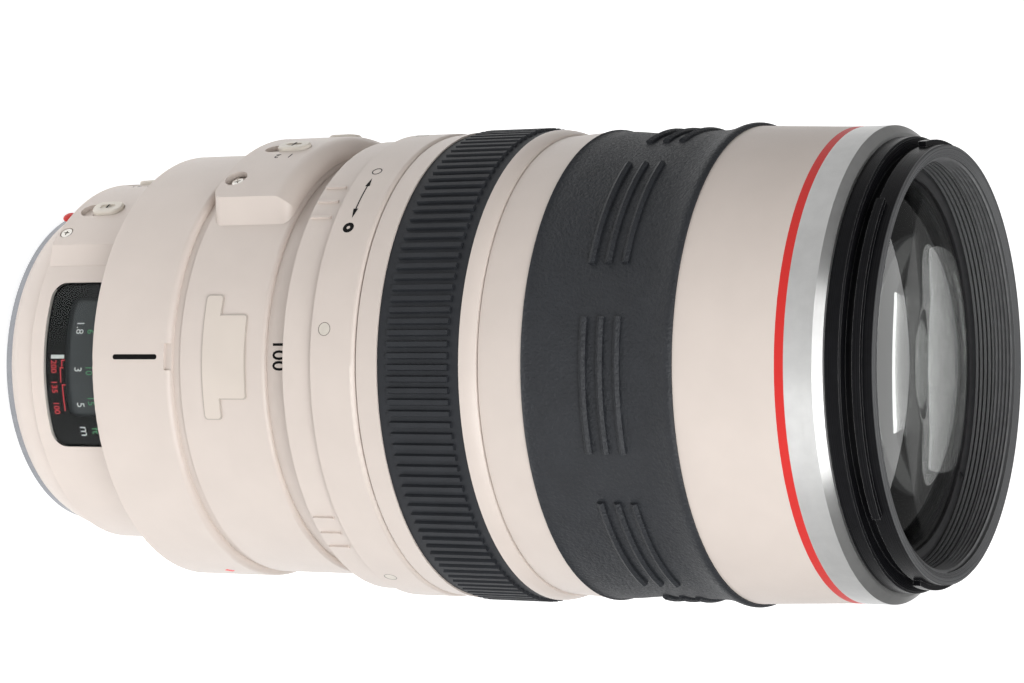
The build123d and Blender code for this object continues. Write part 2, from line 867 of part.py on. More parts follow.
# Scale barrel with three keyways inside
key_turns = [360 / key_count * index for index in range(key_count)]
keyway_rear = key_height - key_radius - 2 * slot_gap
with BuildPart() as scale_barrel:
    tube(scale_bore, scale_radius, hub_front, scale_front)
    for turn in key_turns:
        with BuildSketch(facing(scale_bore - overrun, turn, (keyway_rear + scale_front) / 2)):
            Rectangle(scale_front - keyway_rear + overrun, 2 * key_radius + 2 * slot_gap)
        extrude(amount=overrun + keyway_depth, mode=Mode.SUBTRACT)
scale_barrel.part.label = "scale_barrel"
export_step(scale_barrel.part, "parts/scale_barrel.step")

# Guide tube with straight slots for the focus and zoom groups
focus_rear_height = web_front + focus_cell_height
iris_rear = web_front + iris_height
blade_floor = iris_rear + iris_floor + joint_gap
iris_ring_rear = blade_floor + blade_count * blade_pitch + running_gap
iris_ring_front = iris_ring_rear + iris_ring_thickness
iris_front = iris_ring_front + running_gap
follower_turns = [turn + 180 / key_count for turn in key_turns]
variator_rear = cam_rear + variator_setback
focus_pin_height = focus_rear_height + focus_cell_length / 2
variator_pin_height = variator_rear + variator_length / 2
with BuildPart() as guide_tube:
    turn_outline(
        (guide_bore, web_front),
        (hub_bore - joint_gap, web_front),
        (hub_bore - joint_gap, web_front + cam_collar),
        (guide_radius, web_front + cam_collar),
        (guide_radius, cam_rear - cam_collar),
        (cam_radius, cam_rear - cam_collar),
        (cam_radius, cam_rear),
        (guide_radius, cam_rear),
        (guide_radius, guide_front),
        (guide_bore, guide_front),
        (guide_bore, iris_front + iris_lip),
        (guide_bore - iris_lip_width, iris_front + iris_lip),
        (guide_bore - iris_lip_width, iris_front),
        (guide_bore, iris_front),
    )
    for turn in follower_turns:
        for pin_height, travel in ((focus_pin_height, focus_travel), (variator_pin_height, variator_travel)):
            with BuildSketch(facing(guide_bore - overrun, turn, pin_height + travel / 2)):
                SlotCenterToCenter(travel, 2 * follower_radius + 2 * slot_gap)
            extrude(amount=guide_wall + 2 * overrun, mode=Mode.SUBTRACT)
guide_tube.part.label = "guide_tube"
export_step(guide_tube.part, "parts/guide_tube.step")

with BuildPart() as cam_retaining_ring:
    tube(guide_radius + joint_gap, cam_radius, guide_front - cam_ring_length, guide_front)
    for turn in key_turns:
        with BuildSketch(facing(cam_radius - key_radius / 2, turn, guide_front)):
            Rectangle(cam_ring_length, spanner_notch)
        extrude(amount=key_radius, mode=Mode.SUBTRACT)
cam_retaining_ring.part.label = "cam_retaining_ring"
export_step(cam_retaining_ring.part, "parts/cam_retaining_ring.step")


def helical_cutter(start_turn, start_height, travel, pin_radius, floor_radius, top_radius):
    """Round-ended helical slot that a radial pin follows as the cam tube turns by its full angle."""
    width = 2 * pin_radius + 2 * slot_gap
    middle_radius = (floor_radius + top_radius) / 2
    path = Helix(travel * 360 / cam_angle, travel, middle_radius, lefthand=True)
    with BuildPart() as cutter:
        with BuildSketch(Plane(origin=path @ 0, x_dir=(1, 0, 0), z_dir=path % 0)):
            Rectangle(top_radius - floor_radius, width)
        sweep(path=path, is_frenet=True)
        for share in (0, 1):
            angle = -cam_angle * share
            outward = (cos(radians(angle)), sin(radians(angle)), 0)
            end = Vector(*outward) * floor_radius + Vector(0, 0, travel * share)
            with BuildSketch(Plane(origin=end, z_dir=outward)):
                Circle(width / 2 + joint_gap)
            extrude(amount=top_radius - floor_radius)
    return cutter.part.moved(Location((0, 0, start_height), (0, 0, 270 - start_turn)))


# Cam tube: blind grooves for the keys and through slots for the zoom group
with BuildPart() as cam_tube:
    tube(cam_bore, cam_radius, cam_rear + running_gap, cam_front)
    for turn in key_turns:
        groove = helical_cutter(
            turn, key_height, zoom_travel, key_radius, cam_radius - cam_groove_depth, cam_radius + overrun
        )
        add(groove, mode=Mode.SUBTRACT)
    for turn in follower_turns:
        slot = helical_cutter(
            turn,
            variator_pin_height,
            variator_travel,
            follower_radius,
            cam_bore - overrun,
            cam_radius + overrun,
        )
        add(slot, mode=Mode.SUBTRACT)
cam_tube.part.label = "cam_tube"
export_step(cam_tube.part, "parts/cam_tube.step")

# Key sleeve, which ties the front group to its three keys
with BuildPart() as key_sleeve:
    turn_outline(
        (key_sleeve_bore, key_sleeve_rear),
        (key_sleeve_radius, key_sleeve_rear),
        (key_sleeve_radius, key_sleeve_rear + key_land),
        (key_sleeve_radius - edge_break, key_sleeve_rear + key_land + edge_break),
        (key_sleeve_radius - edge_break, cell_flange_rear),
        (key_sleeve_bore, cell_flange_rear),
    )
    for turn in key_turns:
        with BuildSketch(facing(key_sleeve_bore - overrun, turn, key_height)):
            Circle(key_radius + joint_gap)
        extrude(amount=key_sleeve_wall + 2 * overrun, mode=Mode.SUBTRACT)
key_sleeve.part.label = "key_sleeve"
export_step(key_sleeve.part, "parts/key_sleeve.step")

key_floor = cam_radius - cam_groove_depth + slot_gap
key_top = scale_bore + keyway_depth - slot_gap
with BuildPart() as guide_keys:
    for turn in key_turns:
        with BuildSketch(facing(key_floor, turn, key_height)):
            Circle(key_radius)
        extrude(amount=key_top - key_floor)
guide_keys.part.label = "guide_keys"
export_step(guide_keys.part, "parts/guide_keys.step")

# Zoom sleeve: the tube that slides on the scale barrel and carries the outer rings
sleeve_rear = zoom_rear + tension_lip + running_gap
sleeve_front = grip_rear + grip_lap
tension_screw_height = zoom_rear + tension_screw_setback
tension_screw_turns = [
    tension_screw_first_angle - 360 / tension_screw_count * index for index in range(tension_screw_count)
]
with BuildPart() as zoom_sleeve:
    turn_outline(
        (sleeve_bore, sleeve_rear),
        (sleeve_radius, sleeve_rear),
        (sleeve_radius, tension_front + running_gap),
        (sleeve_radius + sleeve_collar_height, tension_front + running_gap),
        (sleeve_radius + sleeve_collar_height, focus_rear - running_gap),
        (sleeve_radius, focus_rear - running_gap),
        (sleeve_radius, sleeve_front),
        (sleeve_bore + sleeve_wall / 3, sleeve_front),
        (sleeve_bore + sleeve_wall / 3, tension_front),
        (sleeve_bore, tension_front),
    )
    band_rear = tension_screw_height - friction_band_width / 2
    tube(
        sleeve_bore - overrun,
        sleeve_bore + friction_band_depth,
        band_rear,
        band_rear + friction_band_width,
        mode=Mode.SUBTRACT,
    )
    for turn in tension_screw_turns:
        slot_half = tension_screw_radius + slot_gap
        slot_lead = slot_half / sleeve_bore * 180 / 3
        extrude(
            sector(
                sleeve_bore,
                sleeve_radius + overrun,
                turn - tension_angle - slot_lead,
                turn + slot_lead,
                tension_screw_height - slot_half,
            ),
            amount=2 * slot_half,
            mode=Mode.SUBTRACT,
        )
zoom_sleeve.part.label = "zoom_sleeve"
export_step(zoom_sleeve.part, "parts/zoom_sleeve.step")

with BuildPart() as friction_band:
    band_face = sleeve_bore + friction_band_depth - running_gap
    tube(sleeve_bore, band_face, band_rear + joint_gap, band_rear + friction_band_width - joint_gap)
friction_band.part.label = "friction_band"
export_step(friction_band.part, "parts/friction_band.step")

# Tension ring with raised finger ribs and its guide screws
tension_rear_radius = ring_bore + tension_rear_wall
tension_front_radius = ring_bore + tension_front_wall
with BuildPart() as tension_ring:
    turn_outline(
        (scale_radius + tension_lip_play, zoom_rear),
        (tension_rear_radius, zoom_rear),
        (tension_rear_radius, tension_step),
        (tension_front_radius, tension_step),
        (tension_front_radius, tension_front),
        (ring_bore, tension_front),
        (ring_bore, sleeve_rear - running_gap),
        (scale_radius + tension_lip_play, sleeve_rear - running_gap),
    )
    tension_rims = tension_ring.edges().filter_by(GeomType.CIRCLE).group_by(SortBy.RADIUS)[-1]
    fillet(tension_rims.sort_by(Axis.Z)[-1], stabiliser_round)
    for group in range(grip_rib_groups):
        for step in (-1, 0, 1):
            rib_turn = grip_rib_first_angle + group * 360 / grip_rib_groups + step * grip_rib_pitch_angle
            rib_height = zoom_rear + edge_break + grip_rib_length / 2
            with BuildSketch(facing(tension_rear_radius - edge_break, rib_turn, rib_height)):
                SlotOverall(grip_rib_length, grip_rib_width)
            extrude(amount=edge_break + grip_rib_height)
    for turn in tension_screw_turns:
        with Locations(facing(tension_front_radius, turn, tension_screw_height)):
            CounterBoreHole(
                tension_screw_radius + joint_gap,
                tension_screw_head + joint_gap,
                tension_front_wall / 2,
                depth=tension_front_wall + overrun,
            )
tension_ring.part.label = "tension_ring"
export_step(tension_ring.part, "parts/tension_ring.step")

screw_seat = tension_front_radius - tension_front_wall / 2
screw_length = screw_seat - sleeve_bore - friction_band_depth - slot_gap
with BuildPart() as tension_screws:
    for turn in tension_screw_turns:
        with Locations(facing(screw_seat, turn, tension_screw_height)):
            Cylinder(tension_screw_radius, screw_length, align=(Align.CENTER, Align.CENTER, Align.MAX))
            Cylinder(
                tension_screw_head,
                tension_front_wall / 2 - joint_gap,
                align=(Align.CENTER, Align.CENTER, Align.MIN),
            )
tension_screws.part.label = "tension_screws"
export_step(tension_screws.part, "parts/tension_screws.step")

# Focus ring with a flared land behind its rubber and a bead in front
with BuildPart() as focus_ring:
    with BuildSketch(Plane.XZ):
        with BuildLine():
            land_rear = (focus_seat_radius + focus_land_rear_rise, focus_rear)
            land_front = (focus_rubber_radius + focus_rib_height / 2, focus_rubber_rear)
            bead_rear = (focus_rubber_radius + focus_rib_height / 3, focus_rubber_front)
            bead_front = (focus_seat_radius + focus_bead_front_rise, focus_front)
            Polyline(
                (ring_bore, focus_rear),
                land_rear,
                land_front,
                (focus_seat_radius, focus_rubber_rear),
                (focus_seat_radius, focus_rubber_front),
                bead_rear,
            )
            RadiusArc(bead_rear, bead_front, -2 * focus_bead)
            Polyline(bead_front, (ring_bore, focus_front), (ring_bore, focus_rear))
        make_face()
    revolve(axis=Axis.Z)
focus_ring.part.label = "focus_ring"
export_step(focus_ring.part, "parts/focus_ring.step")

rib_angle = 360 / focus_rib_count
rib_land = rib_angle * focus_rib_share
with BuildPart() as focus_rubber:
    tube(focus_seat_radius + joint_gap, focus_rubber_radius, focus_rubber_rear, focus_rubber_front)
    crest = focus_rubber_radius + focus_rib_height
    with BuildSketch(Plane.XY.offset(focus_rubber_rear + focus_rib_margin)):
        Circle(focus_rubber_radius)
        with BuildLine():
            foot_rear = place(focus_rubber_radius - joint_gap, -rib_land / 2)
            foot_front = place(focus_rubber_radius - joint_gap, rib_land / 2)
            top_rear = place(crest, -rib_land / 3)
            top_front = place(crest, rib_land / 3)
            Polyline(foot_rear, top_rear, top_front, foot_front, close=True)
        rib_face = make_face()
        add([rib_face.rotate(Axis.Z, rib_angle * index) for index in range(1, focus_rib_count)])
        Circle(focus_seat_radius + joint_gap, mode=Mode.SUBTRACT)
    extrude(amount=focus_rubber_length - 2 * focus_rib_margin)
focus_rubber.part.label = "focus_rubber"
export_step(focus_rubber.part, "parts/focus_rubber.step")

# Grip barrel: concave neck, rubber seat and tapered front barrel
with BuildPart() as grip_barrel:
    with BuildSketch(Plane.XZ):
        with BuildLine():
            neck_front = (front_barrel_rear_radius, zoom_rubber_rear)
            ThreePointArc(
                (grip_neck_radius, grip_rear),
                (grip_neck_radius + edge_break, grip_rear + grip_neck_length / 2),
                neck_front,
            )
            Polyline(
                neck_front,
                (grip_seat_radius, zoom_rubber_rear),
                (grip_seat_radius, zoom_rubber_front),
                (front_barrel_rear_radius, zoom_rubber_front),
                (front_barrel_front_radius, grip_front),
                (filter_spigot_radius + joint_gap, grip_front),
                (filter_spigot_radius + joint_gap, cell_flange_front),
                (inner_grip_bore, cell_flange_front),
                (inner_grip_bore, sleeve_front + joint_gap),
                (grip_bore, sleeve_front + joint_gap),
                (grip_bore, grip_rear),
                (grip_neck_radius, grip_rear),
            )
        make_face()
    revolve(axis=Axis.Z)
grip_barrel.part.label = "grip_barrel"
export_step(grip_barrel.part, "parts/grip_barrel.step")

# Zoom rubber with a lip, a waist that holds the finger ribs, and a flare
rubber_bore = grip_seat_radius + joint_gap
waist_radius = grip_seat_radius + zoom_rubber_waist
with BuildPart() as zoom_rubber:
    with BuildSketch(Plane.XZ):
        with BuildLine():
            Spline(
                (grip_seat_radius + zoom_rubber_lip, zoom_rubber_rear),
                (waist_radius + zoom_rubber_waist / 2, zoom_rubber_rear + zoom_rubber_length / 12),
                (waist_radius, zoom_rubber_rear + zoom_rubber_length / 4),
                (waist_radius, zoom_rubber_rear + zoom_rubber_length * 2 / 3),
                (grip_seat_radius + zoom_rubber_flare, zoom_rubber_rear + zoom_rubber_length * 11 / 12),
                (grip_seat_radius + zoom_rubber_lip, zoom_rubber_front),
                tangents=((-1, 1), (-1, 1)),
            )
            Polyline(
                (grip_seat_radius + zoom_rubber_lip, zoom_rubber_front),
                (rubber_bore, zoom_rubber_front),
                (rubber_bore, zoom_rubber_rear),
                (grip_seat_radius + zoom_rubber_lip, zoom_rubber_rear),
            )
        make_face()
    revolve(axis=Axis.Z)
    for group in range(zoom_rib_groups):
        first_turn = zoom_rib_first_angle + group * 360 / zoom_rib_groups - zoom_rib_angle / 2
        for row in range(zoom_ribs_per_group):
            rib_height = zoom_rubber_rear + zoom_rib_setback + row * zoom_rib_pitch
            with BuildSketch(Plane.XZ.rotated((0, 0, -first_turn - 90))) as rib_section:
                with Locations((waist_radius, rib_height)):
                    RegularPolygon(zoom_rib_radius, 6)
            revolve(rib_section.sketch, axis=Axis.Z, revolution_arc=-zoom_rib_angle)
zoom_rubber.part.label = "zoom_rubber"
export_step(zoom_rubber.part, "parts/zoom_rubber.step")

# Red ring, name ring and filter ring, clamped on the filter ring's spigot
trim_bore = filter_spigot_radius + joint_gap
with BuildPart() as red_ring:
    tube(trim_bore, front_barrel_front_radius, grip_front, name_rear)
red_ring.part.label = "red_ring"
export_step(red_ring.part, "parts/red_ring.step")

with BuildPart() as name_ring:
    turn_outline(
        (trim_bore, name_rear),
        (front_barrel_front_radius, name_rear),
        (front_barrel_front_radius, name_front - name_ring_chamfer),
        (front_barrel_front_radius - name_ring_step, name_front),
        (trim_bore, name_front),
    )
name_ring.part.label = "name_ring"
export_step(name_ring.part, "parts/name_ring.step")

thread_rear = front_rim - rim_face / 2 - filter_thread_length
baffle_front = thread_rear
baffle_foot = baffle_front - baffle_length
with BuildPart() as filter_ring:
    turn_outline(
        (filter_spigot_radius, grip_front - filter_spigot_lap),
        (filter_spigot_radius, name_front),
        (shoulder_radius, name_front),
        (shoulder_radius, hood_groove_rear - edge_break),
        (shoulder_radius - edge_break, hood_groove_rear),
        (hood_floor_radius, hood_groove_rear),
        (hood_floor_radius, hood_lug_rear),
        (rim_radius, hood_lug_rear),
        (rim_radius, front_rim - edge_break),
        (rim_radius - edge_break, front_rim),
        (rim_radius - rim_face, front_rim),
        (filter_thread_radius, front_rim - rim_face / 2),
        (filter_thread_radius, thread_rear),
        (filter_thread_radius - edge_break, thread_rear),
        (front_bore, baffle_foot),
        (front_bore, cell_front + joint_gap),
        (front_cell_radius + slot_gap, cell_front + joint_gap),
        (front_cell_radius + slot_gap, grip_front - filter_spigot_lap),
    )
    for index in range(baffle_groove_count):
        groove_height = baffle_front - baffle_groove_pitch * (index + 1 / 2)
        tube(
            front_bore - overrun,
            filter_thread_radius + baffle_groove_depth,
            groove_height - baffle_groove_pitch / 4,
            groove_height + baffle_groove_pitch / 4,
            mode=Mode.SUBTRACT,
        )
    for index in range(hood_lug_count):
        middle = index * 360 / hood_lug_count
        lug_section = sector(
            rim_radius - edge_break,
            rim_radius + hood_lug_proud,
            middle - hood_lug_angle / 2,
            middle + hood_lug_angle / 2,
            hood_lug_rear,
        )
        extrude(lug_section, amount=hood_lug_thickness)
filter_ring.part.label = "filter_ring"
export_step(filter_ring.part, "parts/filter_ring.step")

# Front cell with the front lens, its retaining ring and the doublet behind it
doublet_rear = cell_rear + cell_lip / 2
doublet_front = doublet_rear + doublet_edge
ring_bore_radius = front_lens_radius - retaining_ring_width
lens_crown = sagitta(front_lens_bend, front_lens_radius) - sagitta(front_lens_bend, ring_bore_radius)
ring_foot = cell_front - retaining_ring_length
lens_seat = ring_foot - lens_crown - front_lens_edge
cell_bore = front_lens_radius + joint_gap
with BuildPart() as front_cell:
    turn_outline(
        (doublet_radius - cell_lip, cell_rear),
        (key_sleeve_bore - free_gap, cell_rear),
        (key_sleeve_bore - free_gap, cell_flange_rear),
        (inner_grip_bore - joint_gap, cell_flange_rear),
        (inner_grip_bore - joint_gap, cell_flange_front),
        (front_cell_radius, cell_flange_front),
        (front_cell_radius, cell_front),
        (cell_bore, cell_front),
        (cell_bore, lens_seat),
        (doublet_radius + joint_gap, lens_seat),
        (doublet_radius + joint_gap, doublet_rear),
        (doublet_radius - cell_lip, doublet_rear),
    )
front_cell.part.label = "front_cell"
export_step(front_cell.part, "parts/front_cell.step")

with BuildPart() as front_doublet:
    rear_bend = -doublet_bend * 2
    glass_section = lens_outline(doublet_radius, doublet_rear, doublet_front, doublet_bend, rear_bend)
    revolve(glass_section, axis=Axis.Z)
front_doublet.part.label = "front_doublet"
export_step(front_doublet.part, "parts/front_doublet.step")

with BuildPart() as front_lens:
    lens_top = lens_seat + front_lens_edge
    glass_section = lens_outline(front_lens_radius, lens_seat, lens_top, front_lens_bend, -front_lens_hollow)
    revolve(glass_section, axis=Axis.Z)
front_lens.part.label = "front_lens"
export_step(front_lens.part, "parts/front_lens.step")

with BuildPart() as front_retaining_ring:
    tube(ring_bore_radius, front_lens_radius, ring_foot, cell_front)
    for turn in (90, 270):
        with BuildSketch(facing(ring_bore_radius - overrun, turn, cell_front)):
            Rectangle(retaining_ring_length, spanner_notch)
        extrude(amount=retaining_ring_width + 2 * overrun, mode=Mode.SUBTRACT)
front_retaining_ring.part.label = "front_retaining_ring"
export_step(front_retaining_ring.part, "parts/front_retaining_ring.step")


def sliding_cell(rear, length, wall, pin_top, pin_height):
    """Lens cell that slides in the guide tube, with three follower pins in the tube's slots."""
    radius = guide_bore - running_gap
    with BuildPart() as cell:
        turn_outline(
            (radius - wall - glass_lip, rear),
            (radius, rear),
            (radius, rear + length),
            (radius - wall, rear + length),
            (radius - wall, rear + glass_lip),
            (radius - wall - glass_lip, rear + glass_lip),
        )
        for turn in follower_turns:
            with BuildSketch(facing(radius - follower_sink, turn, pin_height)):
                Circle(follower_radius)
            extrude(amount=pin_top - radius + follower_sink)
    return cell.part


def cell_glass(rear, wall, edge, front_bend, rear_bend):
    """Lens seated on the lip of a sliding cell."""
    radius = guide_bore - running_gap - wall - joint_gap
    with BuildPart() as glass:
        edge_rear = rear + glass_lip
        revolve(lens_outline(radius, edge_rear, edge_rear + edge, front_bend, rear_bend), axis=Axis.Z)
    return glass.part


# Zoom group behind the front group
variator_cell = sliding_cell(
    variator_rear, variator_length, variator_wall, cam_radius - slot_gap, variator_pin_height
)
variator_cell.label = "variator_cell"
export_step(variator_cell, "parts/variator_cell.step")
variator_lens = cell_glass(variator_rear, variator_wall, variator_glass_edge, -variator_bend, -glass_bend)
variator_lens.label = "variator_lens"
export_step(variator_lens, "parts/variator_lens.step")

# Focus group
focus_cell = sliding_cell(
    focus_rear_height, focus_cell_length, focus_cell_wall, guide_radius - slot_gap, focus_pin_height
)
focus_cell.label = "focus_cell"
export_step(focus_cell, "parts/focus_cell.step")
focus_lens = cell_glass(focus_rear_height, focus_cell_wall, glass_edge, glass_bend, -relay_bend)
focus_lens.label = "focus_lens"
export_step(focus_lens, "parts/focus_lens.step")

# Iris: housing, blades in a flat stack and the ring above them that closes them
iris_radius = guide_bore - joint_gap
blade_turns = [360 / blade_count * index for index in range(blade_count)]
pivot = Vector(blade_pivot_circle, 0)
lead_pin = pivot.rotate(Axis.Z, blade_lead_angle)
lead_offset = lead_pin - pivot

with BuildPart() as iris_housing:
    turn_outline(
        (iris_opening, iris_rear),
        (iris_radius, iris_rear),
        (iris_radius, iris_front),
        (iris_radius - iris_wall, iris_front),
        (iris_radius - iris_wall, iris_rear + iris_floor),
        (iris_opening, iris_rear + iris_floor),
    )
    with BuildSketch(Plane.XY.offset(iris_rear)):
        with PolarLocations(blade_pivot_circle, blade_count):
            Circle(blade_pin + running_gap)
    extrude(amount=iris_floor, mode=Mode.SUBTRACT)
iris_housing.part.label = "iris_housing"
export_step(iris_housing.part, "parts/iris_housing.step")

with BuildPart() as iris_ring:
    iris_ring_radius = iris_radius - iris_wall - running_gap
    tube(iris_ring_bore, iris_ring_radius, iris_ring_rear, iris_ring_front)
    with BuildSketch(Plane.XY.offset(iris_ring_rear)) as ring_slots:
        with Locations(*[Location((0, 0, 0), (0, 0, turn)) for turn in blade_turns]):
            slot_line = CenterArc(
                (lead_offset.X, lead_offset.Y), blade_pivot_circle, 0, -blade_close_angle, mode=Mode.PRIVATE
            )
            SlotArc(slot_line, 2 * blade_pin + 2 * slot_gap)
    extrude(amount=iris_ring_thickness, mode=Mode.SUBTRACT)
iris_ring.part.label = "iris_ring"
export_step(iris_ring.part, "parts/iris_ring.step")


def iris_blade(index):
    """One blade: a crescent with an ear that holds its pivot pin below and its drive pin above."""
    level = blade_floor + blade_pitch * index
    with BuildPart() as blade:
        with BuildSketch(Plane.XY.offset(level)):
            with BuildLine():
                inner = CenterArc((0, 0), blade_inner, 0, blade_reach_angle)
                outer = CenterArc((0, 0), blade_outer, 0, blade_reach_angle)
                Line(inner @ 0, outer @ 0)
                Line(inner @ 1, outer @ 1)
            make_face()
            with BuildLine():
                ear_inner = CenterArc((0, 0), blade_outer - edge_break, 0, blade_lead_angle)
                ear_outer = CenterArc((0, 0), blade_pivot_circle, 0, blade_lead_angle)
                Line(ear_inner @ 0, ear_outer @ 0)
                Line(ear_inner @ 1, ear_outer @ 1)
            make_face()
            with Locations((pivot.X, pivot.Y), (lead_pin.X, lead_pin.Y)):
                Circle(blade_ear)
        extrude(amount=blade_thickness)
        with BuildSketch(Plane.XY.offset(iris_rear + joint_gap)):
            with Locations((pivot.X, pivot.Y)):
                Circle(blade_pin)
        extrude(amount=level - iris_rear)
        with BuildSketch(Plane.XY.offset(level)):
            with Locations((lead_pin.X, lead_pin.Y)):
                Circle(blade_pin)
        extrude(amount=iris_ring_front - level - joint_gap)
    return blade.part.rotate(Axis.Z, blade_turns[index])


for index in range(blade_count):
    blade = iris_blade(index)
    blade.label = f"iris_blade_{index + 1}"
    export_step(blade, f"parts/iris_blade_{index + 1}.step")

# Stabiliser unit: base, an L-shaped guide rod and the lens cell that slides on it
base_rear = web_front + stabiliser_base_height
base_front = base_rear + stabiliser_base_thickness
cell_floor = base_front + stabiliser_cell_lift
rod_height = cell_floor + stabiliser_cell_length / 2
block_places = (-rod_end + rod_block, rod_end / 2)
rod_bore = rod_radius + running_gap
with BuildPart() as stabiliser_base:
    tube(stabiliser_base_bore, guide_bore - joint_gap, base_rear, base_front)
    for across in block_places:
        with BuildSketch(Plane.XY.offset(base_front)):
            with Locations((across, -rod_offset)):
                Rectangle(rod_block, rod_block_width)
        extrude(amount=rod_height - base_front + rod_block_width / 2)
    with BuildSketch(Plane(origin=(-guide_bore, -rod_offset, rod_height), z_dir=(1, 0, 0))):
        Circle(rod_bore)
    extrude(amount=2 * guide_bore, mode=Mode.SUBTRACT)
stabiliser_base.part.label = "stabiliser_base"
export_step(stabiliser_base.part, "parts/stabiliser_base.step")

with BuildPart() as stabiliser_rod:
    rod_corner = rod_offset - rod_radius
    with BuildLine() as rod_path:
        FilletPolyline(
            (-rod_end, -rod_offset, rod_height),
            (rod_offset, -rod_offset, rod_height),
            (rod_offset, rod_end, rod_height),
            radius=2 * rod_radius,
        )
    with BuildSketch(Plane(origin=rod_path.line @ 0, z_dir=rod_path.line % 0)):
        Circle(rod_radius)
    sweep(path=rod_path.line)
stabiliser_rod.part.label = "stabiliser_rod"
export_step(stabiliser_rod.part, "parts/stabiliser_rod.step")

cell_outer = stabiliser_lens_radius + stabiliser_cell_wall
with BuildPart() as stabiliser_cell:
    turn_outline(
        (stabiliser_lens_radius - glass_lip, cell_floor),
        (cell_outer, cell_floor),
        (cell_outer, cell_floor + stabiliser_cell_length),
        (stabiliser_lens_radius + joint_gap, cell_floor + stabiliser_cell_length),
        (stabiliser_lens_radius + joint_gap, cell_floor + edge_break),
        (stabiliser_lens_radius - glass_lip, cell_floor + edge_break),
    )
    arm_start = cell_outer - stabiliser_cell_wall / 2
    for reach in (-rod_end / 2, rod_end / 2):
        with BuildSketch(Plane.XY.offset(cell_floor)):
            with Locations(((arm_start + rod_offset) / 2, reach)):
                Rectangle(rod_offset - arm_start + rod_block_width, rod_block_width)
        extrude(amount=stabiliser_cell_length)
    with BuildSketch(Plane(origin=(rod_offset, -guide_bore, rod_height), z_dir=(0, 1, 0))):
        Circle(rod_bore)
    extrude(amount=2 * guide_bore, mode=Mode.SUBTRACT)
stabiliser_cell.part.label = "stabiliser_cell"
export_step(stabiliser_cell.part, "parts/stabiliser_cell.step")

with BuildPart() as stabiliser_lens:
    foot = cell_floor + edge_break
    head = cell_floor + stabiliser_cell_length - edge_break
    glass_section = lens_outline(stabiliser_lens_radius, foot, head, -glass_bend, -glass_bend)
    revolve(glass_section, axis=Axis.Z)
stabiliser_lens.part.label = "stabiliser_lens"
export_step(stabiliser_lens.part, "parts/stabiliser_lens.step")

# Rear group in a cell that stands on the rear ring's floor
rear_cell_rear = contact_rear + contact_height + joint_gap
rear_bore = rear_cell_radius - rear_cell_wall
with BuildPart() as rear_cell:
    turn_outline(
        (rear_bore - glass_lip, rear_cell_rear),
        (rear_cell_radius, rear_cell_rear),
        (rear_cell_radius, board_floor),
        (rear_ring_bore + rear_cell_flange_land, board_floor),
        (rear_ring_bore + rear_cell_flange_land, board_floor + rear_cell_flange),
        (rear_cell_radius, board_floor + rear_cell_flange),
        (rear_cell_radius, rear_cell_rear + rear_cell_length),
        (rear_bore, rear_cell_rear + rear_cell_length),
        (rear_bore, rear_cell_rear + glass_lip),
        (rear_bore - glass_lip, rear_cell_rear + glass_lip),
    )
rear_cell.part.label = "rear_cell"
export_step(rear_cell.part, "parts/rear_cell.step")

rear_lens_floor = rear_cell_rear + glass_lip
with BuildPart() as rear_lens:
    head = rear_lens_floor + rear_glass_edge
    glass_section = lens_outline(rear_bore - joint_gap, rear_lens_floor, head, glass_bend, -relay_bend)
    revolve(glass_section, axis=Axis.Z)
rear_lens.part.label = "rear_lens"
export_step(rear_lens.part, "parts/rear_lens.step")
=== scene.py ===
"""Looks and small details of a push-pull telephoto zoom lens, built around its packed model.

The optical axis is Z, the mount's flange is at height 0 and the top of the lens, with its
index and distance window, faces -Y. The switches are on the -X side. Every turn around the
lens is counted in degrees from the top index towards the switch side. Sizes are in metres.
"""

from contextlib import contextmanager
from math import cos, pi, radians, sin, sqrt

import bpy
from bpy.props import FloatProperty, FloatVectorProperty, PointerProperty
from mathutils import Matrix, Vector


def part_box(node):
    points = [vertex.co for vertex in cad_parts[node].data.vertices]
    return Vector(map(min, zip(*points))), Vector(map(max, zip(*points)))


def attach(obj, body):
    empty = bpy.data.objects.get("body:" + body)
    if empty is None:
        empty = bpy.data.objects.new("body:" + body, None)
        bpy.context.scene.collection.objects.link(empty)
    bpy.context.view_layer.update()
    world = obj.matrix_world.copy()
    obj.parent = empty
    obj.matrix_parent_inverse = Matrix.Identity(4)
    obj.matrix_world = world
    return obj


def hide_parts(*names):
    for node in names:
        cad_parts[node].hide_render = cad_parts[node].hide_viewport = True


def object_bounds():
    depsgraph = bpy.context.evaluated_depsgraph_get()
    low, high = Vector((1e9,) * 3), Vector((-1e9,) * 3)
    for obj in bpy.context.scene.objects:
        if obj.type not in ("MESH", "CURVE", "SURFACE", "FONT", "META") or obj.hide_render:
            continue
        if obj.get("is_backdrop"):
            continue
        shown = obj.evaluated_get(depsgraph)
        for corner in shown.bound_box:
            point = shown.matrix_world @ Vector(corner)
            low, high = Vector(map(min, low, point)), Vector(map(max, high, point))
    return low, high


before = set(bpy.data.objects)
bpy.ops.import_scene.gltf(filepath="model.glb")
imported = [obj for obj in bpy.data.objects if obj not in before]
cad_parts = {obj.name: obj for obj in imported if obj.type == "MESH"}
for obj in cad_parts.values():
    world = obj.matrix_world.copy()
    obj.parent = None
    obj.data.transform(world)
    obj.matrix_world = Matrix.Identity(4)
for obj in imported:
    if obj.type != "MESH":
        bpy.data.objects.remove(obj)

bl_info = {
    "name": "Telephoto zoom lens",
    "version": (1, 0, 0),
    "blender": (4, 5, 0),
    "location": "3D View > Sidebar > Lens",
    "description": "Finishes, markings and small parts of a push-pull telephoto zoom lens",
    "category": "Object",
}

MM = 0.001
MICRON = 0.000001

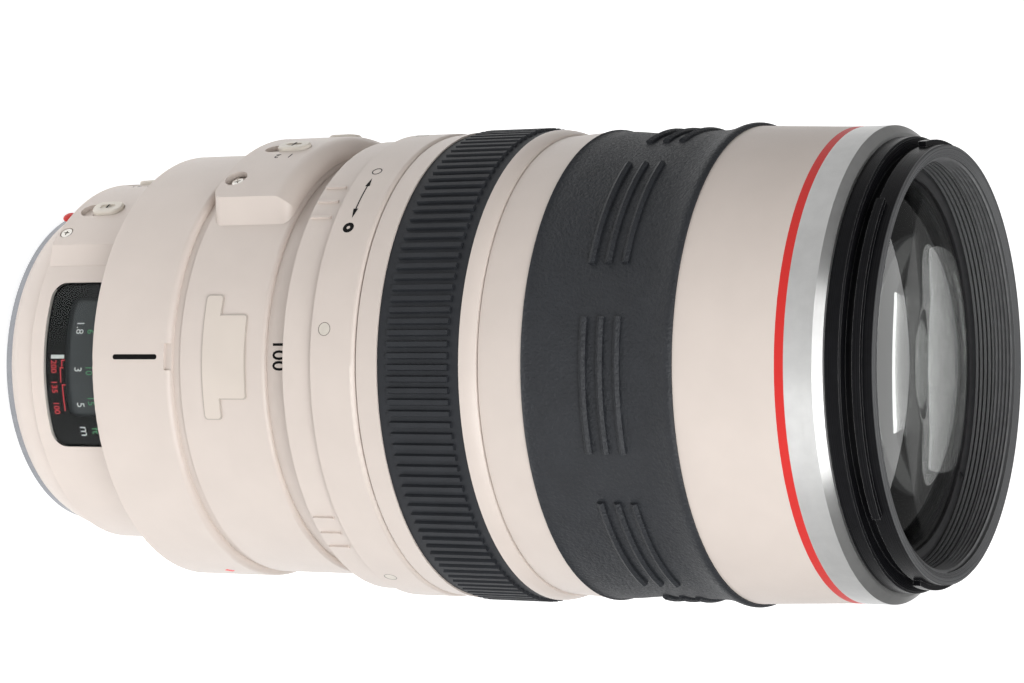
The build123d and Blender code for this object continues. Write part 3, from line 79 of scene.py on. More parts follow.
# Radii of the faces that carry marks
SWITCH_FACE = 37.80 * MM
SEAT = 43.02 * MM
COVER_FACE = 46.07 * MM
STABILISER = 42.07 * MM
SCALE = 41.05 * MM
TENSION = 45.80 * MM
MASK = 35.20 * MM
DRUM = 34.40 * MM
KNOB_PROUD = 0.8 * MM  # of a switch's knob above the face of its panel

# How pieces are made
PRINT_FILM = 0.02 * MM  # height of a mark's face above the surface
PRINT_DEPTH = 0.06 * MM  # thickness of a mark
STRIP_WIDTH = 0.5 * MM  # of the strips that a flat piece is cut into before it is bent
MERGE_WITHIN = 1 * MICRON  # points nearer than this become one
SMOOTH_WITHIN = 35.0  # degrees between faces that are shaded as one
FACING = 0.9  # least share of a face's normal along the wanted direction
ON_AXIS = 1e-9  # a point nearer to the optical axis lies on it
SHARP = 0.05 * MM  # corner radius of thin printed lines
MOST_CORNER = 0.499  # largest corner radius, as a share of a bar's narrower side

# A triangle in a circle one unit across
TRIANGLE_WIDTH = 0.866
TRIANGLE_HEIGHT = 0.75

# Cross screws, in shares of the head's radius
HEAD_ROUND = 0.16
SLOT_SIZE = (1.25, 0.27, 0.8)
SLOT_TAPER = 0.55

# Distance window: its mask and opening as width, height and corner radius
WINDOW_MIDDLE = 19.7 * MM
WINDOW_TURN = -2.0
WINDOW_MASK = (33.8 * MM, 16.0 * MM, 2.9 * MM)
WINDOW_OPENING = (24.2 * MM, 10.6 * MM, 1.9 * MM)
OPENING_SHIFT = (-1.6 * MM, 1.95 * MM, 0)
MASK_THICKNESS = 0.15 * MM
CUTTER_THICKNESS = 1.0 * MM
WINDOW_INDEX = (0.75 * MM, 3.2 * MM, SHARP)
WINDOW_INDEX_PLACE = (0.6, 14.5 * MM)

# Infrared marks below the window: figures with their turns, lines with their ends and heights
INFRARED_FIGURES = (("200", -2.6), ("135", -9.4), ("100", -16.4))
INFRARED_SIZE = 1.35 * MM
INFRARED_LEVEL = 13.6 * MM
INFRARED_LINES = (
    ("a", -0.6, -2.6, 15.55 * MM),
    ("b", -3.0, -7.8, 15.20 * MM),
    ("c", -8.6, -17.2, 15.55 * MM),
)
INFRARED_WIDTH = 0.22 * MM
INFRARED_CORNER = 0.04 * MM
TICK_LENGTH = 0.9 * MM
TICK_RISE = 0.3 * MM

# Units on the mask: piece, words, size, slot, ink, turn, height
UNITS = (
    ("unit_metres", "m", 1.35 * MM, "cream", "white_ink", -24.2, 19.0 * MM),
    ("unit_feet", "ft", 1.75 * MM, "board", "green_ink", -24.0, 22.0 * MM),
)

# Rows of the drum: piece, size, slot, ink, height, figures with their turns
DRUM_ROWS = (
    (
        "metres_",
        1.75 * MM,
        "cream",
        "white_ink",
        18.9 * MM,
        (("1.8", 10.1), ("3", -3.6), ("5", -15.5), ("10", -27.0), ("30", -35.0)),
    ),
    (
        "feet_",
        1.55 * MM,
        "board",
        "green_ink",
        21.5 * MM,
        (("6", 9.0), ("10", -4.2), ("15", -14.4), ("30", -25.5), ("100", -34.6)),
    ),
)
WINDOW_NARROW = 0.92  # width of the window's figures, as a share of the plain one
INFINITY_LOOP = (0.85 * MM, 0.55 * MM)
INFINITY_SHIFT = 0.72 * MM
INFINITY_PLACE = (-40.0, 19.6 * MM)

# Index marks, and the dot of the mount
SEAT_INDEX = (1.0 * MM, 10.2 * MM, 0.499 * MM)
SEAT_INDEX_PLACE = (0.0, 38.3 * MM)
SEAT_DIAMOND = (1.7 * MM, 1.7 * MM, 0.15 * MM)
SEAT_DIAMOND_PLACE = (-77.4, 39.6 * MM)
MOUNT_DOT_RADIUS = 1.5 * MM
MOUNT_DOT_PLACE = (34.3 * MM, 60.6, 3.7 * MM)
MOUNT_DOT_FLATTENED = 0.55

# Focal lengths with their heights
ZOOM_FIGURES = (
    ("100", 69.9 * MM),
    ("135", 85.9 * MM),
    ("200", 104.9 * MM),
    ("300", 125.9 * MM),
    ("400", 139.9 * MM),
)
ZOOM_SIZE = 3.0 * MM
ZOOM_NARROW = 0.98
ZOOM_HEAVY = 0.012

# Signs of the tension ring: rings and discs as outer radius and radius of the hole
TENSION_LEVEL = 83.2 * MM
ARROW_TURN = 42.0
ARROW_SHAFT = (8.4 * MM, 0.24 * MM, SHARP)
ARROW_HEAD = (2.4 * MM, 1.0 * MM)
ARROW_HEAD_TURN = 4.9
TENSION_DISCS = (
    ("tension_open", (1.05 * MM, 0.85 * MM), 51.9),
    ("tension_tight", (1.15 * MM, 0.38 * MM), 32.3),
)
PLUGS = 5
# dark ring round each plug, a painted shadow in its gap: outer radius and radius of the hole
PLUG_GAP_SHADOW = (1.30 * MM, 1.18 * MM)
PLUG_GAP_SHADOW_DEPTH = 0.12 * MM
PLUG_LEVEL = 82.4 * MM
FIRST_PLUG_TURN = 6.3

# Lines of the switches' knobs: knob, radius of its panel's face, turn, height
KNOB_LINE = (2.2 * MM, 0.35 * MM, SHARP)
KNOB_LINES = (
    ("focus_mode_knob", SWITCH_FACE, 54.5, 16.9 * MM),
    ("distance_limit_knob", SWITCH_FACE, 82.0, 16.9 * MM),
    ("stabiliser_mode_knob", COVER_FACE, 67.0, 58.4 * MM),
    ("stabiliser_power_knob", COVER_FACE, 92.0, 58.4 * MM),
)

# Signs of the switches: piece, words, size, radius, turn, height
SWITCH_SIGNS = (
    ("mode_1", "1", 1.7 * MM, COVER_FACE, 61.2, 59.9 * MM),
    ("mode_2", "2", 1.7 * MM, COVER_FACE, 61.2, 56.9 * MM),
    ("power_on", "ON", 1.3 * MM, COVER_FACE, 86.2, 60.3 * MM),
    ("power_off", "OFF", 1.3 * MM, COVER_FACE, 86.2, 56.7 * MM),
    ("limit_full", "1.8", 1.3 * MM, SWITCH_FACE, 75.4, 18.8 * MM),
    ("limit_far", "6.5", 1.3 * MM, SWITCH_FACE, 75.4, 15.0 * MM),
)

# Screws of the two panels: piece, radius of the head's face, turn, height, turn of the cross
PANEL_SCREWS = (
    ("panel_screw_a", SWITCH_FACE - 0.04 * MM, 43.0, 10.6 * MM, 0.0),
    ("panel_screw_b", COVER_FACE - 0.8 * MM, 50.5, 52.0 * MM, 28.0),
)
PANEL_SCREW_HEAD = (1.33 * MM, 0.8 * MM)

# Stepped plate, in millimetres: piece, slot, finish, growth of its outline, height of its face
# the edge layer is darker than the face and shows round it as a painted shadow
PLATE_LAYERS = (
    ("plate_edge", "gold", "plate_edge", 0.0, 0.22),
    ("plate_face", "cream", "plate", -0.22, 0.30),
)
PLATE_BAR = (24.4, 3.9, 0.7)
PLATE_STEP = (16.4, 6.6, 0.6)
PLATE_STEP_SHIFT = 4.55 * MM
PLATE_THICKNESS = 0.4 * MM
PLATE_MIDDLE = 55.15 * MM
# share of the plate's colour on its edge layer, darker as a painted shadow
PLATE_SHADOW_SHARE = 0.72

# Front glass: height of its rim, radii of its two faces, steps of their outlines
GLASS_RIM = 179.9 * MM
GLASS_BEND = 105.0 * MM
GLASS_HOLLOW = 420.0 * MM
GLASS_BEND_STEPS = 20
GLASS_HOLLOW_STEPS = 8

# Ring that holds the glass, and its notches
RING_FACE = 181.3 * MM
RING_LIP = 34.9 * MM
RING_WIDTH = 36.85 * MM
RING_SLOPE = 1.0 * MM
RING_CHAMFER = 0.25 * MM
RING_SLACK = 0.05 * MM
RING_OVER_GLASS = (0.35 * MM, 0.1 * MM, 0.8 * MM)  # foot at the lip, outer foot, top of the lip
NOTCH_RADIUS = 36.2 * MM
NOTCH_SIZE = (1.6 * MM, 3.0 * MM, 1.0 * MM)
NOTCH_TURNS = (35.0, 215.0)

# Thread for filters
THREAD_PITCH = 0.75 * MM
THREAD_TURNS = 5
THREAD_RADIUS = 38.1 * MM
THREAD_FOOT = 184.75 * MM
TOOTH_RADIUS = 0.36 * MM
TOOTH_INSET = 0.06 * MM
FILTER_RING_MATT = (38.9 * MM, 188.8 * MM)  # radius of its bore, height of its front face

# Colours of finishes without a setting, in linear red, green and blue
WHITE = (1.0, 1.0, 1.0)
CHROME = (0.27, 0.28, 0.30)
STEEL = (0.50, 0.50, 0.51)
GOLD = (0.83, 0.60, 0.24)
NICKEL = (0.62, 0.60, 0.56)
# grey that sharp black edges are mixed towards, as a painted highlight
EDGE_HIGHLIGHT_GREY = (0.22, 0.22, 0.22)
MATT_FRONT = (0.075, 0.076, 0.078)
RIM_BLACK = (0.014, 0.014, 0.015)
PLASTIC_BLACK = (0.014, 0.014, 0.015)
MASK_BLACK = (0.004, 0.004, 0.004)
THREAD_GREY = (0.090, 0.091, 0.093)
DRUM_GREY = (0.050, 0.053, 0.056)
BOARD_GREEN = (0.020, 0.075, 0.035)
CERAMIC = (0.19, 0.17, 0.145)
FELT = (0.020, 0.020, 0.020)
# grey-brown of a painted shadow line
GAP_SHADOW = (0.20, 0.175, 0.155)
RED_INK = (0.95, 0.055, 0.070)
PANE = (0.93, 0.95, 0.95)
COATED_GLASS = (0.985, 0.99, 0.985)

NOISE_MIDDLE = (0.3, 0.7)  # nearly all of a noise lies between these values
EDGE_FROM_TO = (0.98, 0.85)  # agreement of flat and rounded normal, from face to sharp edge

# Pieces whose finish isn't that of their slot
OTHER_FINISHES = {
    "distance_drum": "drum",
    "filter_ring": "filter_black",
    "front_cell": "rim_black",
    "zoom_rubber": "grained_rubber",
}

# Studio. The floor glows a little all over and more behind the lens. That second glow fades
# beside and before the lens: near and far distance, and the glow at each of them.
FLOOR_SIZE = 12.0
FLOOR_HAZE = 0.4  # width of its soft patches
FLOOR_DARKEST = 0.985  # of those patches, as a share of the floor's colour
FLOOR_ROUGHNESS = 0.9
FLOOR_GLOW = 0.13
GLOW_BESIDE = (0.13, 0.45, 0.72, 0.0)
GLOW_BEFORE = (-0.04, -0.16, 1.0, 0.05)
WORLD_LIGHT = 0.15
LIT_SPOT = Vector((0, 0, 0.095))  # the middle of the lens, which the softboxes face

# Softboxes: name, place, width, depth, power in watts
SOFTBOXES = (
    ("key softbox", (0.36, -0.52, 0.62), 0.6, 0.6, 5.6),
    ("front softbox", (-0.10, -0.75, 1.15), 1.0, 1.0, 6.5),
    ("back softbox", (0.0, 0.75, 1.25), 1.2, 1.0, 7.0),
)
SENSOR_WIDTH = 36.0  # of the camera, in millimetres
NEAREST_SEEN = 0.05

FINISHES = {}


# Settings that a user would change


def tint(name, description, default):
    """A colour setting, in linear red, green and blue."""
    return FloatVectorProperty(
        name=name,
        description=description,
        subtype="COLOR",
        size=3,
        min=0.0,
        max=1.0,
        default=default,
    )


def length(name, description, default):
    """A length setting, in metres."""
    return FloatProperty(
        name=name,
        description=description,
        subtype="DISTANCE",
        unit="LENGTH",
        default=default,
        precision=5,
    )


def angle(name, description, default):
    """An angle setting, given in degrees."""
    return FloatProperty(
        name=name,
        description=description,
        subtype="ANGLE",
        unit="ROTATION",
        default=radians(default),
    )


def number(name, description, default):
    """A plain number as a setting."""
    return FloatProperty(name=name, description=description, default=default)


class LensColours(bpy.types.PropertyGroup):
    """Colours of the lens's finishes."""

    enamel: tint("Enamel", "Warm off-white enamel of the barrel", (0.64, 0.565, 0.515))
    knob: tint("Switch knobs", "Moulded off-white of the slide switches", (0.66, 0.61, 0.54))
    black: tint("Black anodised", "Anodised rings at the front", (0.005, 0.005, 0.006))
    inner_black: tint("Matt black", "Matt black of the inner tubes", (0.012, 0.012, 0.013))
    rubber: tint("Rubber", "Grip rubbers", (0.018, 0.020, 0.024))
    silver: tint("Name ring", "Satin silver of the name ring", (0.78, 0.78, 0.77))
    red: tint("Red", "Red ring and red marks", (0.62, 0.014, 0.010))
    ink: tint("Black ink", "Printed black marks", (0.006, 0.006, 0.006))
    white_ink: tint("White ink", "Distance numbers in metres", (0.82, 0.82, 0.80))
    green_ink: tint("Green ink", "Distance numbers in feet", (0.10, 0.36, 0.16))
    plate: tint("Plate", "Bare stepped plate on the barrel", (0.65, 0.578, 0.515))
    floor: tint("Floor", "Pale studio floor", (0.56, 0.56, 0.56))


class LensStage(bpy.types.PropertyGroup):
    """Camera of the studio."""

    distance: length("Camera distance", "From the optical axis to the camera", 0.53804)
    height: length("Camera height", "Of the camera above the mount's flange", 0.37738)
    turn: angle("Camera turn", "Of the camera about the optical axis", 2.1)
    tilt: angle("Camera tilt", "Of the camera down towards the lens", 27.415)
    focal: number("Focal length", "Of the camera, on 36 mm", 108.200)
    shift: number("Shift", "Upwards, as a share of the width", 0.0229)


SETTINGS = {"lens_colours": LensColours, "lens_stage": LensStage}


# Materials


def surface(name):
    """A new material, its node tree and its Principled node."""
    material = bpy.data.materials.new(name)
    material.use_nodes = True
    tree = material.node_tree
    return material, tree, tree.nodes["Principled BSDF"]


def add_node(tree, kind, inputs=(), **settings):
    """Adds a node, with its settings and plain input values."""
    node = tree.nodes.new(kind)
    for name, value in settings.items():
        setattr(node, name, value)
    for name, value in dict(inputs).items():
        node.inputs[name].default_value = value
    return node


def place_of(tree):
    """The place of a point on the lens."""
    return add_node(tree, "ShaderNodeTexCoord").outputs["Object"]


def coordinates(tree, place):
    """The three coordinates of a place."""
    node = add_node(tree, "ShaderNodeSeparateXYZ")
    tree.links.new(place, node.inputs[0])
    return node.outputs


def turned_place(tree):
    """Distance from the optical axis and height, so that a pattern on it runs round the lens."""
    spot = coordinates(tree, place_of(tree))
    flat = add_node(tree, "ShaderNodeCombineXYZ")
    tree.links.new(spot["X"], flat.inputs["X"])
    tree.links.new(spot["Y"], flat.inputs["Y"])
    reach = add_node(tree, "ShaderNodeVectorMath", operation="LENGTH")
    tree.links.new(flat.outputs[0], reach.inputs[0])
    pair = add_node(tree, "ShaderNodeCombineXYZ")
    tree.links.new(reach.outputs["Value"], pair.inputs["X"])
    tree.links.new(spot["Z"], pair.inputs["Z"])
    return pair.outputs[0]


def noise(tree, place, size, detail):
    """Noise whose grains are about as wide as size."""
    node = add_node(tree, "ShaderNodeTexNoise", {"Scale": 1 / size, "Detail": detail})
    tree.links.new(place, node.inputs["Vector"])
    return node.outputs["Fac"]


def mapped(tree, value, start, stop, first, last, kind="LINEAR"):
    """A value from first to last while another runs from start to stop."""
    node = add_node(
        tree,
        "ShaderNodeMapRange",
        {"From Min": start, "From Max": stop, "To Min": first, "To Max": last},
        interpolation_type=kind,
    )
    tree.links.new(value, node.inputs["Value"])
    return node.outputs["Result"]


def spread(tree, value, low, high):
    """Maps the middle of a noise onto low to high."""
    return mapped(tree, value, *NOISE_MIDDLE, low, high)


def reckoned(tree, operation, first, second):
    """A sum, product or comparison of a socket with a second one or with a number."""
    node = add_node(tree, "ShaderNodeMath", operation=operation)
    tree.links.new(first, node.inputs[0])
    if isinstance(second, bpy.types.NodeSocket):
        tree.links.new(second, node.inputs[1])
    else:
        node.inputs[1].default_value = second
    return node.outputs[0]


def blended(tree, share, first, second):
    """A mix of two colours or colour sockets by a share."""
    node = add_node(tree, "ShaderNodeMix", data_type="RGBA")
    tree.links.new(share, node.inputs["Factor"])
    for socket, value in ((node.inputs["A"], first), (node.inputs["B"], second)):
        if isinstance(value, bpy.types.NodeSocket):
            tree.links.new(value, socket)
        else:
            socket.default_value = (*value, 1)
    return node.outputs["Result"]


def times(colour, share):
    """A colour times a share."""
    return tuple(channel * share for channel in colour)


def uneven(tree, colour, size, low, high, detail=3.0):
    """A colour with soft patches that are low to high times as bright."""
    patches = noise(tree, place_of(tree), size, detail)
    return blended(tree, spread(tree, patches, 0.0, 1.0), times(colour, low), times(colour, high))


def painted_edge_highlight(tree, width, highlight_strength):
    """Share of a point near a sharp edge, where a highlight is painted into the colour."""
    round_normal = add_node(tree, "ShaderNodeBevel", {"Radius": width}, samples=3)
    flat_normal = add_node(tree, "ShaderNodeNewGeometry")
    both = add_node(tree, "ShaderNodeVectorMath", operation="DOT_PRODUCT")
    tree.links.new(round_normal.outputs["Normal"], both.inputs[0])
    tree.links.new(flat_normal.outputs["Normal"], both.inputs[1])
    return mapped(tree, both.outputs["Value"], *EDGE_FROM_TO, 0.0, highlight_strength)


def dressed(tree, shader, colour, relief, depth, smoothest, roughest):
    """Gives a surface its colour, and a relief that is uneven in height and in gloss."""
    tree.links.new(colour, shader.inputs["Base Color"])
    tree.links.new(spread(tree, relief, smoothest, roughest), shader.inputs["Roughness"])
    bump = add_node(tree, "ShaderNodeBump", {"Distance": depth, "Strength": 1.0})
    tree.links.new(relief, bump.inputs["Height"])
    tree.links.new(bump.outputs["Normal"], shader.inputs["Normal"])


def painted(name, colour, grain=0.35 * MM, depth=4 * MICRON, gloss=0.40, cloud=0.02):
    """Sprayed enamel: fine orange peel, faint clouds and slightly uneven gloss."""
    material, tree, shader = surface(name)
    clouds = uneven(tree, colour, size=9 * MM, low=1 - cloud, high=1 + cloud)
    peel = noise(tree, place_of(tree), size=grain, detail=3.0)
    dressed(tree, shader, clouds, peel, depth, smoothest=gloss - 0.05, roughest=gloss + 0.07)
    shader.inputs["IOR"].default_value = 1.5
    return material


def anodised(name, colour, gloss=0.38, depth=1.5 * MICRON, shine=0.22, highlight_strength=0.0, matt=()):
    """Black anodised aluminium with faint turning lines, and sharp edges painted a little lighter
    as a highlight.

    Where matt gives a radius and a height, the face within that radius or above that height is a
    greyer matt black.
    """
    material, tree, shader = surface(name)
    around = turned_place(tree)
    shade = uneven(tree, colour, size=1.6 * MM, low=0.85, high=1.25, detail=5.0)
    if matt:
        spot = coordinates(tree, around)
        within = reckoned(tree, "LESS_THAN", spot["X"], matt[0])
        above = reckoned(tree, "GREATER_THAN", spot["Z"], matt[1])
        shade = blended(tree, reckoned(tree, "MAXIMUM", within, above), shade, MATT_FRONT)
    # painted highlight: sharp edges are mixed towards a lighter grey
    if highlight_strength:
        highlit_edges = painted_edge_highlight(tree, width=0.12 * MM, highlight_strength=highlight_strength)
        shade = blended(tree, highlit_edges, shade, EDGE_HIGHLIGHT_GREY)
    lines = noise(tree, around, size=0.18 * MM, detail=4.0)
    dressed(tree, shader, shade, lines, depth, smoothest=gloss - 0.06, roughest=gloss + 0.10)
    shader.inputs["Specular IOR Level"].default_value = shine
    return material


def turned_metal(name, colour, gloss, depth=1.2 * MICRON, streak=0.0):
    """Bare or plated metal with fine turning lines, which draw its gleam out along the lens."""
    material, tree, shader = surface(name)
    if streak:
        around = add_node(tree, "ShaderNodeTangent", direction_type="RADIAL", axis="Z")
        tree.links.new(around.outputs[0], shader.inputs["Tangent"])
        shader.inputs["Anisotropic"].default_value = streak
        shader.inputs["Anisotropic Rotation"].default_value = 0.25
    haze = uneven(tree, colour, size=2.5 * MM, low=0.93, high=1.0)
    lines = noise(tree, turned_place(tree), size=0.12 * MM, detail=4.0)
    dressed(tree, shader, haze, lines, depth, smoothest=gloss - 0.05, roughest=gloss + 0.08)
    shader.inputs["Metallic"].default_value = 1.0
    return material


def moulded(name, colour, gloss=0.45, grain=0.16 * MM, depth=3 * MICRON, shine=0.5):
    """Moulded plastic or rubber with a fine grain."""
    material, tree, shader = surface(name)
    patches = uneven(tree, colour, size=5 * MM, low=0.90, high=1.12)
    fine = noise(tree, place_of(tree), size=grain, detail=4.0)
    dressed(tree, shader, patches, fine, depth, smoothest=gloss - 0.05, roughest=gloss + 0.10)
    shader.inputs["Specular IOR Level"].default_value = shine
    return material


def printed(name, colour, shine=0.3):
    """Printed or filled ink, a little uneven in tone and gloss."""
    material, tree, shader = surface(name)
    patches = uneven(tree, colour, size=0.5 * MM, low=0.88, high=1.0)
    fine = noise(tree, place_of(tree), size=0.12 * MM, detail=3.0)
    dressed(tree, shader, patches, fine, depth=2 * MICRON, smoothest=0.40, roughest=0.55)
    shader.inputs["Specular IOR Level"].default_value = shine
    return material


def clear(name, index, kind, colour, mirrored, **passing):
    """A material that lets light through, and mirrors more of it the flatter it comes in.

    Gives the material, its node tree and the socket for the roughness of its mirror.
    """
    material, tree, shader = surface(name)
    tree.nodes.remove(shader)
    through = add_node(tree, kind, {"Color": (*colour, 1), **passing})
    mirror = add_node(tree, "ShaderNodeBsdfGlossy", {"Color": (*mirrored, 1)})
    share = add_node(tree, "ShaderNodeFresnel", {"IOR": index})
    both = add_node(tree, "ShaderNodeMixShader")
    tree.links.new(share.outputs[0], both.inputs["Fac"])
    tree.links.new(through.outputs[0], both.inputs[1])
    tree.links.new(mirror.outputs[0], both.inputs[2])
    tree.links.new(both.outputs[0], tree.nodes["Material Output"].inputs["Surface"])
    return material, tree, mirror.inputs["Roughness"]


def glass(name, colour, index, kept):
    """Polished glass: its coating lets only a share of the mirrored light back."""
    material, tree, gloss = clear(
        name,
        index,
        "ShaderNodeBsdfRefraction",
        colour,
        times(colour, kept),
        IOR=index,
        Roughness=0.0,
    )
    polish = noise(tree, place_of(tree), size=14 * MM, detail=2.0)
    tree.links.new(spread(tree, polish, low=0.01, high=0.03), gloss)
    return material


def clear_sheet(name, colour, index, roughness):
    """A thin clear pane: it shows what is behind it and mirrors the light a little."""
    material, tree, gloss = clear(name, index, "ShaderNodeBsdfTransparent", colour, WHITE)
    gloss.default_value = roughness
    return material


def make_finishes():
    """Every finish of the lens, by the name of its slot in the record."""
    colours = bpy.context.scene.lens_colours
    black, rubber, plate = tuple(colours.black), tuple(colours.rubber), tuple(colours.plate)
    # the front's black rings get a painted highlight on their sharp edges
    anodised_front = {"gloss": 0.26, "shine": 0.10, "highlight_strength": 0.7}
    return {
        "cream": painted("enamel", tuple(colours.enamel)),
        "cream_knob": moulded(
            "knob plastic", tuple(colours.knob), gloss=0.34, depth=1.5 * MICRON
        ),
        "red": painted(
            "red paint", tuple(colours.red), gloss=0.45, depth=1.5 * MICRON, cloud=0.03
        ),
        "silver": turned_metal("name ring silver", tuple(colours.silver), gloss=0.34, streak=0.8),
        "chrome": turned_metal("chromed brass", CHROME, gloss=0.22),
        "steel": turned_metal("steel", STEEL, gloss=0.24),
        "gold": turned_metal("gold plate", GOLD, gloss=0.20),
        "black_metal": anodised("black anodised", black, **anodised_front),
        "filter_black": anodised(
            "filter ring black", black, matt=FILTER_RING_MATT, **anodised_front
        ),
        "rim_black": anodised("matt rim black", RIM_BLACK, gloss=0.45, shine=0.25),
        "dark_metal": anodised(
            "matt black", tuple(colours.inner_black), gloss=0.55, depth=2.5 * MICRON
        ),
        "black_plastic": moulded("black plastic", PLASTIC_BLACK, gloss=0.42),
        "rubber": moulded(
            "grip rubber", rubber, gloss=0.56, grain=0.28 * MM, depth=14 * MICRON, shine=0.35
        ),
        "grained_rubber": moulded(
            "grained rubber", rubber, gloss=0.54, grain=0.6 * MM, depth=300 * MICRON, shine=0.42
        ),
        "board": moulded("circuit board", BOARD_GREEN, gloss=0.32, depth=1.5 * MICRON),
        "ceramic": moulded("piezo ceramic", CERAMIC, gloss=0.60),
        "felt": moulded("felt", FELT, gloss=0.85, grain=0.10 * MM, depth=40 * MICRON),
        "clear": clear_sheet("window pane", PANE, index=1.14, roughness=0.03),
        "lens": glass("coated glass", COATED_GLASS, index=1.60, kept=0.85),
        "ink": printed("black ink", tuple(colours.ink), shine=0.06),
        "white_ink": printed("white ink", tuple(colours.white_ink)),
        "green_ink": printed("green ink", tuple(colours.green_ink)),
        "red_ink": printed("red ink", RED_INK),
        "plate": painted("plate enamel", plate, depth=2 * MICRON, gloss=0.34),
        # painted shadow: the plate's edge layer is darker than its face
        "plate_edge": painted(
            "plate edge", times(plate, PLATE_SHADOW_SHARE), depth=2 * MICRON, gloss=0.34
        ),
        # painted shadow: dark rings in the gaps round the tension ring's plugs
        "seam": printed("shadow line", GAP_SHADOW),
        "thread": anodised("thread black", THREAD_GREY, gloss=0.34, shine=0.5),
        "drum": moulded("drum grey", DRUM_GREY, gloss=0.38, depth=1 * MICRON, shine=0.3),
        "mask": moulded("mask black", MASK_BLACK, gloss=0.20, depth=0.2 * MICRON, shine=0.08),
        "screw": turned_metal("nickel-plated screw", NICKEL, gloss=0.26),
    }


# Modelling


def choose(*objects):
    """Selects these objects only, the first as the active one."""
    bpy.ops.object.select_all(action="DESELECT")
    for piece in objects:
        piece.select_set(True)
    bpy.context.view_layer.objects.active = objects[0]


@contextmanager
def editing(piece):
    """Edit mode on one piece, with all of it selected."""
    choose(piece)
    bpy.ops.object.mode_set(mode="EDIT")
    bpy.ops.mesh.select_all(action="SELECT")
    yield
    bpy.ops.object.mode_set(mode="OBJECT")


def pick(piece, kind, test):
    """Selects, in edit mode, only the faces or edges that pass a test."""
    bpy.ops.mesh.select_mode(type=kind)
    bpy.ops.mesh.select_all(action="DESELECT")
    bpy.ops.object.mode_set(mode="OBJECT")
    for item in piece.data.polygons if kind == "FACE" else piece.data.edges:
        item.select = test(item)
    bpy.ops.object.mode_set(mode="EDIT")


def finish_with(piece, kind, **settings):
    """Adds a modifier with its settings and applies it."""
    choose(piece)
    bpy.ops.object.modifier_add(type=kind)
    modifier = piece.modifiers[-1]
    for name, value in settings.items():
        setattr(modifier, name, value)
    bpy.ops.object.modifier_apply(modifier=modifier.name)


def applied(piece, matrix):
    """Puts a piece at its place and applies that place to its mesh."""
    piece.matrix_world = matrix
    choose(piece)
    bpy.ops.object.transform_apply(location=True, rotation=True, scale=True)
    return piece


def scaled(x, y, z):
    """A scale along the three axes."""
    return Matrix.Diagonal((x, y, z, 1))


def spun(degrees):
    """A turn about the axis Z."""
    return Matrix.Rotation(radians(degrees), 4, "Z")


def on_side(radius, turn, height):
    """Place of a point on the side of the lens, for a piece that faces -Y."""
    return spun(-turn) @ Matrix.Translation((0, -radius, height))


UPRIGHT = Matrix.Rotation(pi / 2, 4, "X")


def named(name):
    """The piece that was just made, under its name."""
    piece = bpy.context.object
    piece.name = name
    return piece


def extent(piece, axis):
    """Lowest and highest point of a mesh along an axis."""
    along = [point.co[axis] for point in piece.data.vertices]
    return min(along), max(along)


def merged(piece):
    """Merges doubled points."""
    with editing(piece):
        bpy.ops.mesh.remove_doubles(threshold=MERGE_WITHIN)
    return piece


def closed_shell(piece):
    """Merges doubled points and turns every face outwards."""
    with editing(merged(piece)):
        bpy.ops.mesh.normals_make_consistent(inside=False)


def thickened(piece, thickness, offset=-1.0):
    """Gives a flat piece a thickness, below its face unless the offset says otherwise."""
    finish_with(piece, "SOLIDIFY", thickness=thickness, offset=offset)


def combined(piece, operation, tool):
    """Joins a tool to a piece or cuts it out, and removes the tool."""
    finish_with(piece, "BOOLEAN", operation=operation, solver="EXACT", object=tool)
    bpy.data.objects.remove(tool)


def smooth(piece):
    """Smooth shading but for sharp edges."""
    choose(piece)
    bpy.ops.object.shade_smooth_by_angle(angle=radians(SMOOTH_WITHIN))


def joined(name, *pieces):
    """Joins pieces into the first one."""
    choose(*pieces)
    bpy.ops.object.join()
    pieces[0].name = name
    return pieces[0]


def block(matrix):
    """A block, one unit wide each way before its matrix is applied."""
    bpy.ops.mesh.primitive_cube_add(size=1.0, location=(0, 0, 0))
    return applied(bpy.context.object, matrix)


def flat_bar(name, width, height, corner):
    """A flat bar with rounded corners."""
    bpy.ops.mesh.primitive_plane_add(size=1.0, location=(0, 0, 0))
    piece = applied(named(name), scaled(width, height, 1))
    most = MOST_CORNER * min(width, height)
    with editing(piece):
        bpy.ops.mesh.bevel(offset=min(corner, most), segments=6, affect="VERTICES")
    return piece


def flat_disc(name, radius, hole=0.0, sides=32):
    """A flat disc, or a flat ring with a hole."""
    bpy.ops.mesh.primitive_circle_add(
        vertices=sides, radius=radius, fill_type="NGON", location=(0, 0, 0)
    )
    piece = named(name)
    if hole:
        with editing(piece):
            bpy.ops.mesh.inset(thickness=radius - hole)
            bpy.ops.mesh.delete(type="FACE")
    return piece


def flat_arrow(name, reach, width):
    """A flat arrow head that points along +X from its middle."""
    bpy.ops.mesh.primitive_circle_add(
        vertices=3, radius=0.5, fill_type="NGON", location=(0, 0, 0)
    )
    shape = scaled(width / TRIANGLE_WIDTH, reach / TRIANGLE_HEIGHT, 1)
    return applied(applied(named(name), shape), spun(-90))


def flat_words(name, words, size, narrow=1.0, heavy=0.0):
    """Flat figures of a height, centred."""
    bpy.ops.object.text_add(location=(0, 0, 0))
    text = bpy.context.object
    text.data.body = words
    text.data.resolution_u = 3
    text.data.offset = heavy
    choose(text)
    bpy.ops.object.convert(target="MESH")
    piece = named(name)
    left, right = extent(piece, 0)
    foot, top = extent(piece, 1)
    share = size / (top - foot)
    centred = Matrix.Translation((-(left + right) / 2, -(foot + top) / 2, 0))
    return merged(applied(piece, scaled(share * narrow, share, 1) @ centred))


